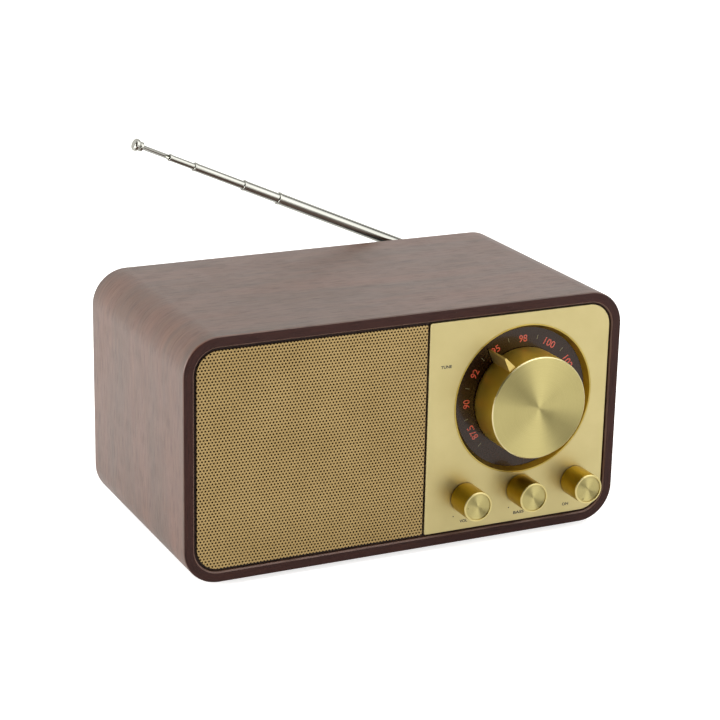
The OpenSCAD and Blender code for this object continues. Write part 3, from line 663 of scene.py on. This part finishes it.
def clothMaterial(name, spec):
    # plain weave with fuzz between its threads
    material, tree, shader = newMaterial(name, {"Roughness": 0.9, "Sheen Weight": 0.2})
    place = objectPlace(tree)
    weave = useGroup(tree, weaveGroup, {"Place": place, "Threads": spec["threads"]})
    fuzz = useGroup(tree, blastGroup, {"Place": place, "Pits": 2400.0})
    base = mixColours(tree, weave["Thread"], spec["dark"], spec["light"])
    base = tinted(tree, base, fuzz["Pit"], 0.3, spec["dark"])
    dress(tree, shader, {"Base Color": base}, weave["Height"], 0.8, 0.0002)
    return material


for slot, spec in cloths.items():
    finishes[slot] = clothMaterial(joinedName(slot), spec)

pine = {"dark": tint(178, 136, 84), "light": tint(214, 176, 122), "streak": tint(160, 112, 62)}


def pineMaterial(spec):
    material, tree, shader = newMaterial("barePine", {"Roughness": 0.7})
    grain = useGroup(tree, woodGroup, {"Place": objectPlace(tree), "Pore Share": 0.7})
    base = mixColours(tree, grain["Figure"], spec["dark"], spec["light"])
    base = tinted(tree, base, grain["Streak"], 0.4, spec["streak"])
    dress(tree, shader, {"Base Color": base}, grain["Height"], 0.3, 0.0001)
    return material


finishes["pine"] = pineMaterial(pine)
finishes["spun_gilt"] = spunMaterial("spunGilt", "tuning_knob")
for node, cad in nodes.items():
    cad.data.materials.clear()
    cad.data.materials.append(finishes[slotOf[node]])
print("materials:", len(finishes), "finishes in use")


sleeve = {
    "outerRadius": 18.5 * mm,
    "wall": 5.5 * mm,
    "edge": 0.9 * mm,           # rounding of the outer edges
    "cut": 0.7 * mm,            # width of the cut along the inner front edge
    "cutEdge": 0.15 * mm,
    "backEdge": 0.5 * mm,
    "cornerSteps": 20,
    "flatSteps": 6,
}


def roundRectPath(halfWidth, halfHeight, radius, cornerSteps, flatSteps):
    # points and outward normals round a rectangle with four corner arcs, anticlockwise from the front
    corners = [(1, 1, 0), (-1, 1, 90), (-1, -1, 180), (1, -1, 270)]
    places, normals = [], []
    for i, (sx, sz, start) in enumerate(corners):
        a = np.radians(start + np.linspace(0, 90, cornerSteps + 1))
        normal = np.stack([np.cos(a), np.sin(a)], axis=1)
        arc = np.array([sx * (halfWidth - radius), sz * (halfHeight - radius)]) + radius * normal
        nextX, nextZ, nextStart = corners[(i + 1) % 4]
        turn = math.radians(nextStart)
        nextPoint = np.array([nextX * (halfWidth - radius), nextZ * (halfHeight - radius)])
        nextPoint = nextPoint + radius * np.array([math.cos(turn), math.sin(turn)])
        t = np.linspace(0, 1, flatSteps + 1)[1:-1, None]
        places += [arc, arc[-1] + t * (nextPoint - arc[-1])]
        normals += [normal, np.repeat(normal[-1:], flatSteps - 1, axis=0)]
    return np.vstack(places), np.vstack(normals)


def makeSleeve(spec):
    # a wall profile carried round the outline:
    # p(u, v) = outline(u) - inset(v) * normal(u) in x and z, with depth(v) in y
    low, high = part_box("cabinet")
    middle, half = (low + high) / 2, (high - low) / 2
    wall, cut, edge = spec["wall"], spec["cut"], spec["edge"]
    profile = roundedLine([(0, low.y, edge), (wall - cut, low.y, spec["cutEdge"]),
                           (wall, low.y + cut, spec["cutEdge"]), (wall, high.y, spec["backEdge"]),
                           (0, high.y, edge)])
    outline, normal = roundRectPath(half.x, half.z, spec["outerRadius"], spec["cornerSteps"], spec["flatSteps"])
    inset, depth = profile[None, :, :1], profile[None, :, 1]
    flat = outline[:, None, :] - inset * normal[:, None, :]
    rows, cols = flat.shape[:2]
    depth = np.broadcast_to(depth, (rows, cols))
    points = np.stack([middle.x + flat[..., 0], depth, middle.z + flat[..., 1]], axis=-1)
    faces = gridQuads(rows, cols, True, True)
    across = (profile + np.roll(profile, -1, axis=0)) / 2
    onFront = np.abs(across[:, 1] - low.y) < 0.12 * mm
    # faces of the cut take the lighter wood, a painted highlight line along the inner front edge
    onCut = (across[:, 0] > wall - cut) & (across[:, 1] < low.y + cut) & ~onFront
    kind = np.where(onCut, 2, np.where(onFront, 1, 0))
    piece = addMesh("veneered_sleeve", points.reshape(-1, 3), faces, finishes["walnut_veneer"],
                    edgeBandMaterial, cutEdgePaintedHighlight, smooth=True, faceMaterial=np.tile(kind, rows))
    # grain map in metres: u runs round the outline and v runs over the wall's profile
    step = np.linalg.norm(outline - np.roll(outline, -1, axis=0), axis=1)
    u = np.concatenate([[0], np.cumsum(step)])
    v = np.concatenate([[0], np.cumsum(np.linalg.norm(profile - np.roll(profile, -1, axis=0), axis=1))])
    i, j = np.meshgrid(np.arange(rows), np.arange(cols), indexing="ij")
    corner = np.stack([np.stack([u[i], v[j]], -1), np.stack([u[i], v[j + 1]], -1),
                       np.stack([u[i + 1], v[j + 1]], -1), np.stack([u[i + 1], v[j]], -1)], axis=2)
    layer = piece.data.uv_layers.new(name="sleeveGrain")
    layer.data.foreach_set("uv", corner.reshape(-1).astype(np.float32))
    closeUp(piece, merge=False)
    belongs(piece, "cabinet")


makeSleeve(sleeve)
print("sleeve made")


grille = {
    "pitch": 1.756 * mm,
    "hole": 0.527 * mm,         # reach of each hole's eight corners from its middle
    "leftRadius": 11.5 * mm,
    "rightRadius": 1.0 * mm,
    "arcCuts": 9,
}


def makeGrille(spec):
    # eight points round every hole of a triangular grid, with every other row set over by half a pitch:
    # p(i, j, a) = middle(i, j) + hole * (cos a, sin a) in x and z; the metal between them is cut to the
    # outline and thickened
    low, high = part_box("speaker_grille")
    pitch, row = spec["pitch"], spec["pitch"] * math.sqrt(3) / 2
    cols, rows = int((high.x - low.x) / pitch) + 5, int((high.z - low.z) / row) + 5
    i, j = np.meshgrid(np.arange(cols), np.arange(rows), indexing="ij")
    middleX = low.x - 2 * pitch + (i + 0.5 * (j % 2)) * pitch
    middleZ = low.z - 2 * row + j * row
    a = np.radians(22.5 + 45 * np.arange(8))
    points = np.stack([middleX[..., None] + spec["hole"] * np.cos(a), np.full(i.shape + (8,), low.y),
                       middleZ[..., None] + spec["hole"] * np.sin(a)], axis=-1).reshape(-1, 3)
    i, j = [x.ravel() for x in np.meshgrid(np.arange(cols - 1), np.arange(1, rows - 1), indexing="ij")]
    own, right = (i * rows + j) * 8, ((i + 1) * rows + j) * 8
    above, below = ((i + j % 2) * rows + j + 1) * 8, ((i + j % 2) * rows + j - 1) * 8
    bridges = np.stack([own, own + 7, right + 4, right + 3], axis=1)
    upper = np.stack([own, right + 3, right + 2, above + 6, above + 5, own + 1], axis=1)
    lower = np.stack([own + 7, own + 6, below + 2, below + 1, right + 5, right + 4], axis=1)
    piece = addMesh("perforated_grille", points, [bridges, upper, lower], finishes["grille_gilt"])
    middle, half = (low + high) / 2, (high - low) / 2
    cuts = [((half.x, 0), 0), ((0, half.z), 90), ((-half.x, 0), 180), ((0, -half.z), 270)]
    for sx, radius in ((-1, spec["leftRadius"]), (1, spec["rightRadius"])):
        for sz in (-1, 1):
            for share in np.linspace(0, 1, spec["arcCuts"] + 2)[1:-1]:
                turn = share * math.pi / 2
                outward = (sx * math.cos(turn), sz * math.sin(turn))
                touch = (sx * (half.x - radius) + radius * outward[0],
                         sz * (half.z - radius) + radius * outward[1])
                cuts.append((touch, math.degrees(math.atan2(outward[1], outward[0]))))
    bm = bmesh.new()
    bm.from_mesh(piece.data)
    for (x, z), turn in cuts:
        outward = (math.cos(math.radians(turn)), 0, math.sin(math.radians(turn)))
        bmesh.ops.bisect_plane(bm, geom=bm.verts[:] + bm.edges[:] + bm.faces[:], dist=1e-8, clear_outer=True,
                               plane_co=(middle.x + x, low.y, middle.z + z), plane_no=outward)
    loose = [vert for vert in bm.verts if not vert.link_faces]
    bmesh.ops.delete(bm, geom=loose, context="VERTS")
    bm.to_mesh(piece.data)
    bm.free()
    solid = piece.modifiers.new("sheet", "SOLIDIFY")
    solid.thickness, solid.offset = high.y - low.y, -1
    applyModifiers(piece)
    belongs(piece, "speaker_grille")
    print("grille:", sum(len(face.vertices) - 2 for face in piece.data.polygons), "triangles")


makeGrille(grille)


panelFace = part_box("control_panel")[0].y
dialMiddle = middleOf("dial_plate")
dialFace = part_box("dial_plate")[0].y
softened("control_panel", 0.14 * mm)

bezel = {
    "openingRadius": 38.9 * mm,
    "rimRadius": 39.6 * mm,
    "seatRadius": 36.98 * mm,
    "flangeRadius": 42.2 * mm,
    "sheet": 1 * mm,            # thickness of the flange
    "wall": 1.5 * mm,
    "softEdges": (0.12 * mm, 0.1 * mm, 0.08 * mm),
}


def makeBezel(spec):
    # turned ring whose inside is a cone from the opening in front to the dial's seat behind
    low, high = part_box("dial_bezel")
    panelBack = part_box("control_panel")[1].y
    opening, rim, seat, flange = [spec[key + "Radius"] for key in ("opening", "rim", "seat", "flange")]
    flangeBack, outside = panelBack + spec["sheet"], seat + spec["wall"]
    soft, fine, finest = spec["softEdges"]
    profile = roundedLine([(opening, low.y, soft), (rim, low.y, finest), (rim, panelBack, 0),
                           (flange, panelBack, fine), (flange, flangeBack, fine), (outside, flangeBack, 0),
                           (outside, high.y, fine), (seat, high.y, soft)], 4)
    piece = turnedPiece("dial_surround", profile, (dialMiddle.x, 0, dialMiddle.z), (0, 1, 0), True,
                        [finishes["gilt_turned"]], 160)
    belongs(piece, "dial_bezel")


makeBezel(bezel)

dialPrint = {
    "marks": [("87.5", 210), ("90", 180), ("92", 150), ("95", 120), ("98", 90), ("100", 60), ("102", 30),
              ("105", 0), ("108", -30)],
    "middleRadius": 31.2 * mm,
    "height": 3.7 * mm,
    "widths": {2: 4.8 * mm, 3: 6.9 * mm, 4: 7.9 * mm},
    "weight": 0.012,            # how much bolder the numerals are than the plain font
    "tickRadii": (31.0 * mm, 33.3 * mm),
    "tickTurns": (225, -45, -30),
    "tickWidth": 0.35 * mm,
    "thickness": 0.03 * mm,
    "numeralColour": tint(216, 86, 64),
    "tickColour": tint(122, 118, 88),
}


def letterShape(text, height, width, weight):
    # text as a mesh: points centred on the origin at the size asked for, from -0.5 to 0.5 in depth,
    # and triangles
    curve = bpy.data.curves.new("lettering", "FONT")
    curve.body, curve.size, curve.extrude, curve.offset = text, 1.0, 0.5, weight
    curve.resolution_u = 4
    holder = newObject("lettering", curve)
    mesh = meshOf(holder)
    bpy.data.objects.remove(holder)
    mesh.calc_loop_triangles()
    points = np.zeros(len(mesh.vertices) * 3)
    mesh.vertices.foreach_get("co", points)
    points = points.reshape(-1, 3)
    faces = np.zeros(len(mesh.loop_triangles) * 3, int)
    mesh.loop_triangles.foreach_get("vertices", faces)
    low, high = points.min(0), points.max(0)
    scale = np.array([width / (high[0] - low[0]), height / (high[1] - low[1]), 1.0])
    bpy.data.meshes.remove(mesh)
    return (points - (low + high) / 2) * scale, faces.reshape(-1, 3)


def printMaterial(name, colour, fade):
    # thin ink: a little uneven, and it lets the ground show at its worn spots
    material, tree, shader = newMaterial(name, {"Roughness": 0.45, "Coat Weight": 0.4, "Coat Roughness": 0.08})
    blast = useGroup(tree, blastGroup, {"Place": objectPlace(tree), "Pits": 5200.0})
    worn = (*[x * 0.55 for x in colour[:3]], 1)
    base = tinted(tree, colour, blast["Pit"], fade, worn)
    dress(tree, shader, {"Base Color": base}, blast["Height"], 0.1, 0.00002)
    return material


def joined(parts):
    # points and faces of several meshes as those of one
    starts = np.cumsum([0] + [len(points) for points, faces in parts])
    faces = [faces + start for (points, faces), start in zip(parts, starts)]
    return np.vstack([points for points, faces in parts]), np.vstack(faces)


def addPrint(name, points, faces, ink, slot):
    piece = addMesh(name, points, faces, ink)
    closeUp(piece)
    belongs(piece, body="radio_case", slot=slot)


def makeDialPrint(spec):
    # numerals stand with their tops outwards: p = middle + right(a) * x + out(a) * (y + radius)
    parts = []
    for text, turn in spec["marks"]:
        shape, faces = letterShape(text, spec["height"], spec["widths"][len(text)], spec["weight"])
        out = np.array([math.cos(math.radians(turn)), math.sin(math.radians(turn))])
        right = np.array([out[1], -out[0]])
        flat = shape[:, :1] * right + (shape[:, 1:2] + spec["middleRadius"]) * out
        depth = dialFace - spec["thickness"] * (shape[:, 2] + 0.5)
        parts.append((np.stack([dialMiddle.x + flat[:, 0], depth, dialMiddle.z + flat[:, 1]], axis=1), faces))
    ink = printMaterial("numeralInk", spec["numeralColour"], 0.25)
    addPrint("dial_numerals", *joined(parts), ink, "dial_acrylic")
    # ticks: a bar of eight corners at each half step of the scale
    first, last, step = spec["tickTurns"]
    turn = np.radians(np.arange(first, last - 1, step))[:, None]
    inner, outer = spec["tickRadii"]
    outwards = np.array([inner, outer, outer, inner] * 2)[None, :]
    across = np.array([-1, -1, 1, 1] * 2)[None, :] * spec["tickWidth"] / 2
    depth = np.array([0, 0, 0, 0, 1, 1, 1, 1])[None, :] * spec["thickness"]
    x = dialMiddle.x + outwards * np.cos(turn) + across * np.sin(turn)
    z = dialMiddle.z + outwards * np.sin(turn) - across * np.cos(turn)
    points = np.stack([x, np.broadcast_to(dialFace - depth, x.shape), z], axis=-1)
    sides = np.array([[0, 1, 2, 3], [4, 7, 6, 5], [0, 4, 5, 1], [1, 5, 6, 2], [2, 6, 7, 3], [3, 7, 4, 0]])
    bars = joined([(bar, sides) for bar in points])
    addPrint("dial_ticks", *bars, printMaterial("tickInk", spec["tickColour"], 0.3), "dial_acrylic")


makeDialPrint(dialPrint)

panelLabels = {
    # words on the panel: middle in x and z, then width, in millimetres
    "words": [("TUNE", 19.7, 97.5, 6.1), ("VOL", 32.5, 13.5, 4.4), ("BASS", 64.7, 13.4, 6.2),
              ("ON", 92.6, 13.6, 3.8)],
    "height": 1.6 * mm,
    "weight": 0.03,
    "dots": [(26.5, 16.7), (38.5, 16.7), (58.7, 16.7), (70.7, 16.7)],
    "dotRadius": 0.34 * mm,
    "dotSides": 14,
    "thickness": 0.03 * mm,
    "colour": tint(34, 29, 17),
}


def makePanelLabels(spec):
    # words: p = middle + (x, z) of each letter, standing on the panel's face
    parts, thickness = [], spec["thickness"]
    for text, x, z, width in spec["words"]:
        shape, faces = letterShape(text, spec["height"], width * mm, spec["weight"])
        depth = panelFace - thickness * (shape[:, 2] + 0.5)
        parts.append((np.stack([x * mm + shape[:, 0], depth, z * mm + shape[:, 1]], axis=1), faces))
    ink = printMaterial("labelInk", spec["colour"], 0.2)
    addPrint("panel_labels", *joined(parts), ink, "gilt_panel")
    # dots: p(a, layer) = middle + radius * (cos a, sin a), with a front and a back ring and their middles
    sides = spec["dotSides"]
    layer = sides + 1
    a = np.linspace(0, 2 * math.pi, sides, endpoint=False)
    ring = np.vstack([[0, 0], np.stack([np.cos(a), np.sin(a)], axis=1) * spec["dotRadius"]])
    spots = np.array(spec["dots"]) * mm
    flat = spots[:, None, None, :] + np.broadcast_to(ring, (len(spots), 2, layer, 2))
    depth = np.broadcast_to(np.array([panelFace - thickness, panelFace])[None, :, None], flat.shape[:3])
    points = np.stack([flat[..., 0], depth, flat[..., 1]], axis=-1).reshape(len(spots), -1, 3)
    here = 1 + np.arange(sides)
    beside = 1 + here % sides
    front = np.stack([np.zeros(sides, int), here, beside], axis=1)
    rim = np.vstack([np.stack([here, layer + here, layer + beside], axis=1),
                     np.stack([here, layer + beside, beside], axis=1)])
    faces = np.vstack([front, front[:, ::-1] + layer, rim])
    addPrint("panel_dots", *joined([(dot, faces) for dot in points]), ink, "gilt_panel")


makePanelLabels(panelLabels)
print("panel and dial made")


tuningKnob = {
    "radius": 26.8 * mm,
    "rim": 0.5 * mm,            # width of the bright chamfer
    "wall": 1.8 * mm,
    "face": 2.2 * mm,           # thickness behind the spun face
    "rimEdge": 0.14 * mm,
    "backEdge": 0.25 * mm,
    "innerEdge": 0.3 * mm,
    "faceRings": 12,
    "ringMargin": 0.4 * mm,
    "side": {"dark": tint(190, 160, 56), "light": tint(202, 173, 72), "roughness": 0.44,
             "toneRough": 0.03},
    "chamfer": {"dark": tint(208, 196, 146), "light": tint(222, 211, 164), "roughness": 0.28},
    "pointer": {"dark": tint(196, 172, 100), "light": tint(212, 190, 120), "roughness": 0.4,
                "toneRough": 0.03},
}


def makeTuningKnob(spec):
    # turned cup: the profile runs from the middle of its face over the chamfer and back inside to the axis
    low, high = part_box("tuning_knob")
    radius, rim, inner = spec["radius"], spec["rim"], spec["radius"] - spec["wall"]
    floor = low.y + spec["face"]
    profile = roundedLine([(0, low.y, 0), (radius - rim, low.y, spec["rimEdge"]),
                           (radius, low.y + rim, spec["rimEdge"]), (radius, high.y, spec["backEdge"]),
                           (inner, high.y, spec["backEdge"]), (inner, floor, spec["innerEdge"]), (0, floor, 0)])
    # flat face rings let the lines show at an even spacing
    rings = np.linspace(0, radius - rim - spec["ringMargin"], spec["faceRings"])[1:]
    face = np.stack([rings, np.full(len(rings), low.y)], axis=1)
    profile = np.vstack([profile[:1], face, profile[1:]])
    middle = (profile[:-1] + profile[1:]) / 2
    onFace = np.abs(middle[:, 1] - low.y) < 0.02 * mm
    onSide = (middle[:, 0] > radius - 0.06 * mm) & (middle[:, 1] > low.y + rim)
    kind = np.where(onFace, 0, np.where(onSide | (middle[:, 1] > floor - 0.1 * mm), 1, 2))
    materials = [finishes["spun_gilt"], metalMaterial("knobSide", spec["side"]),
                 metalMaterial("knobRim", spec["chamfer"])]
    piece = turnedPiece("tuning_knob_shell", profile, (dialMiddle.x, 0, dialMiddle.z), (0, 1, 0), False,
                        materials, 160, kind)
    belongs(piece, "tuning_knob")
    softened("tuning_pointer", 0.22 * mm, metalMaterial("pointerGilt", spec["pointer"]))


makeTuningKnob(tuningKnob)

smallKnob = {
    "radius": 7.9 * mm,
    "rim": 1.0 * mm,
    "edge": 0.3 * mm,           # chamfer of the rim
    "edgeRound": 0.08 * mm,
    "sink": 0.6 * mm,
    "cap": 0.6 * mm,
    "bore": 3.02 * mm,
    "boreTop": 3.2 * mm,        # from the cap's seat to the end of the bore
    "skirt": 1.2 * mm,
    "hollow": 6 * mm,
    "boss": 4.6 * mm,
}


def makeSmallKnob(node, capNode, spec):
    # turned cup with a polished rim; its bore takes the shaft, and the spun cap closes the front
    low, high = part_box(node)
    middle = middleOf(node)
    floor = low.y + spec["sink"] + spec["cap"]
    radius, edge, fine, boss = spec["radius"], spec["edge"], spec["edgeRound"], spec["boss"]
    rim, skirt, hollow = radius - spec["rim"], radius - spec["skirt"], high.y - spec["hollow"]
    bore, boreTop = spec["bore"], floor + spec["boreTop"]
    profile = roundedLine([(0, floor, 0), (rim, floor, 0), (rim, low.y, 0.12 * mm),
                           (radius - edge, low.y, fine), (radius, low.y + edge, fine),
                           (radius, high.y, 0.2 * mm), (skirt, high.y, 0.1 * mm),
                           (skirt, hollow, 0), (boss, hollow, 0), (boss, high.y, 0.1 * mm), (bore, high.y, 0),
                           (bore, boreTop, 0), (0, boreTop, 0)], 4)
    line = (profile[:-1] + profile[1:]) / 2
    kind = np.where(line[:, 1] < low.y + edge + 0.02 * mm, 1, 0)
    piece = turnedPiece(node + "_shell", profile, (middle.x, 0, middle.z), (0, 1, 0), False,
                        [finishes["knob_gilt"], knobRimMaterial], 72, kind)
    belongs(piece, node)
    softened(capNode, 0.06 * mm, spunMaterial(capNode + "Spun", capNode), 40)


knobRimMaterial = metalMaterial("smallKnobRim", {"dark": tint(192, 178, 118), "light": tint(208, 194, 136),
                                                 "roughness": 0.32})
for control in ("volume", "bass", "power"):
    makeSmallKnob(control + "_knob", control + "_knob_cap", smallKnob)
print("knobs made")


aerial = {
    # all in millimetres
    "radii": [3.25, 2.75, 2.25, 1.75, 1.25],
    "runFit": 0.05,
    "bead": 1.2,
    "beadRise": 0.2,
    # radius, distance along the button and rounding of each corner
    "button": [(1.6, 0.0, 0.2), (2.6, 0.6, 0.25), (2.6, 1.9, 0.2), (2.1, 2.3, 0.2), (2.9, 2.9, 0.2),
               (3.3, 3.4, 0.3), (3.3, 4.8, 0.3), (2.6, 5.5, 0.3)],
    "buttonLength": 5.7,
}


def makeAerial(spec):
    # tubes turned about the aerial's own line through the hinge pin, each with a rolled bead at its open end
    axis = next(joint for joint in frame["joints"] if joint["name"] == "aerial_draw_2")["axis"]
    pin = middleOf("aerial_pin")
    sections = len(spec["radii"])
    for number in range(1, sections + 1):
        node = "aerial_section_%d" % number
        start, end = [x / mm for x in along(node, axis, pin)]
        outer = spec["radii"][number - 1]
        if number < sections:
            bore = spec["radii"][number] + spec["runFit"]
            lip, bead = outer + spec["beadRise"], end - spec["bead"]
            profile = roundedLine([(bore, start, 0), (outer, start, 0.1), (outer, bead, 0.05),
                                   (lip, bead + 0.1, 0.1), (lip, end, 0.16), (bore, end, 0.06)], 4)
        else:
            tip = end - spec["buttonLength"]
            corners = [(0, start, 0), (outer, start, 0.2), (outer, tip - 0.2, 0)]
            corners += [(radius, tip + rise, soft) for radius, rise, soft in spec["button"]]
            profile = roundedLine(corners + [(0, end, 0)], 3)
        piece = turnedPiece(node + "_tube", profile * mm, tuple(pin), axis, number < sections,
                            [finishes["chrome"]], 40)
        belongs(piece, node)


makeAerial(aerial)
for node, width in (("aerial_knuckle", 0.2), ("aerial_swivel", 0.3), ("aerial_base", 0.3)):
    softened(node, width * mm)
print("aerial made")


backEdges = {"rear_panel": 0.25, "rear_screws": 0.1, "aux_jack": 0.12, "dc_socket": 0.15, "foot_screws": 0.1}
for node, width in backEdges.items():
    softened(node, width * mm)

surround = {"roll": 2.5 * mm, "wall": 0.5 * mm, "lip": 0.5 * mm, "wedges": 16, "steps": 6, "arcSteps": 12}


def makeSurround(spec):
    # half roll round the cone, p(a, s) = middle + radius(s) * (cos a, sin a) in x and z, with depth(s) in y,
    # cut into wedges
    low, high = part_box("speaker_surround")
    middle, outer, back = (low + high) / 2, (high.x - low.x) / 2, high.y
    roll, wall = spec["roll"], spec["wall"]
    inner = outer - 2 * roll - spec["lip"]
    start = math.asin(wall / roll)
    arcs = []
    for size, first in ((roll, start), (wall - roll, 0)):
        # front of the roll, then its back the other way round
        t = np.linspace(first, math.pi - first, spec["arcSteps"] + 1)
        arcs.append(np.stack([outer - roll - size * np.cos(t), -abs(size) * np.sin(t)], axis=1))
    profile = np.vstack([[inner, 0], [inner, -wall], arcs[0], [outer, -wall], [outer, 0], arcs[1]])
    count, half = len(profile), math.pi / spec["wedges"]
    for number in range(spec["wedges"]):
        heading = 2 * half * number
        a = (heading + np.linspace(-half, half, spec["steps"] + 1))[:, None]
        depth = np.broadcast_to(back + profile[:, 1], (len(a), count))
        points = np.stack([middle.x + profile[:, 0] * np.cos(a), depth, middle.z + profile[:, 0] * np.sin(a)],
                          axis=-1).reshape(-1, 3)
        end = np.arange(count)[None]
        faces = [gridQuads(len(a), count, False, True), end[:, ::-1], end + (len(a) - 1) * count]
        piece = addMesh("speaker_surround_%02d" % (number + 1), points, faces, finishes["rubber"], smooth=True)
        closeUp(piece)
        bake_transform(piece)
        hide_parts("speaker_surround")


makeSurround(surround)
print("speaker surround made")

foot = {
    # all in millimetres
    "radius": 8.0,
    "height": 2.5,
    "recess": 3.2,
    "seat": 1.7,
    "bore": 1.6,
    "edge": 0.8,
    "taper": 0.5,
    "segments": 48,
}


def makeFeet(spec):
    # four turned discs in one piece: p(a, s) = spot + radius(s) * (cos a, sin a) in x and y, height(s) in z
    low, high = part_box("feet")
    inset, segments = spec["radius"] * mm, spec["segments"]
    radius, bore, seat, edge = spec["radius"], spec["bore"], spec["seat"], spec["edge"]
    profile = roundedLine([(bore, seat, 0), (spec["recess"], seat, 0.15), (spec["recess"], 0, 0.2),
                           (radius - edge, 0, 0.3), (radius, edge, 0.35),
                           (radius - spec["taper"], spec["height"], 0.1), (bore, spec["height"], 0)], 4) * mm
    a = np.linspace(0, 2 * math.pi, segments, endpoint=False)[:, None]
    height = np.broadcast_to(profile[None, :, 1], (segments, len(profile)))
    disc = np.stack([profile[:, 0] * np.cos(a), profile[:, 0] * np.sin(a), height], axis=-1).reshape(-1, 3)
    spots = [(x, y, 0) for x in (low.x + inset, high.x - inset) for y in (low.y + inset, high.y - inset)]
    faces = gridQuads(segments, len(profile), True, True)
    points, faces = joined([(disc + np.array(spot), faces) for spot in spots])
    piece = addMesh("rubber_feet", points, faces, finishes["rubber"], smooth=True)
    closeUp(piece)
    belongs(piece, "feet")


makeFeet(foot)
print("back and feet made")

lightStudio(studio)
placeCamera(cameraSetup)

print("scene ready")
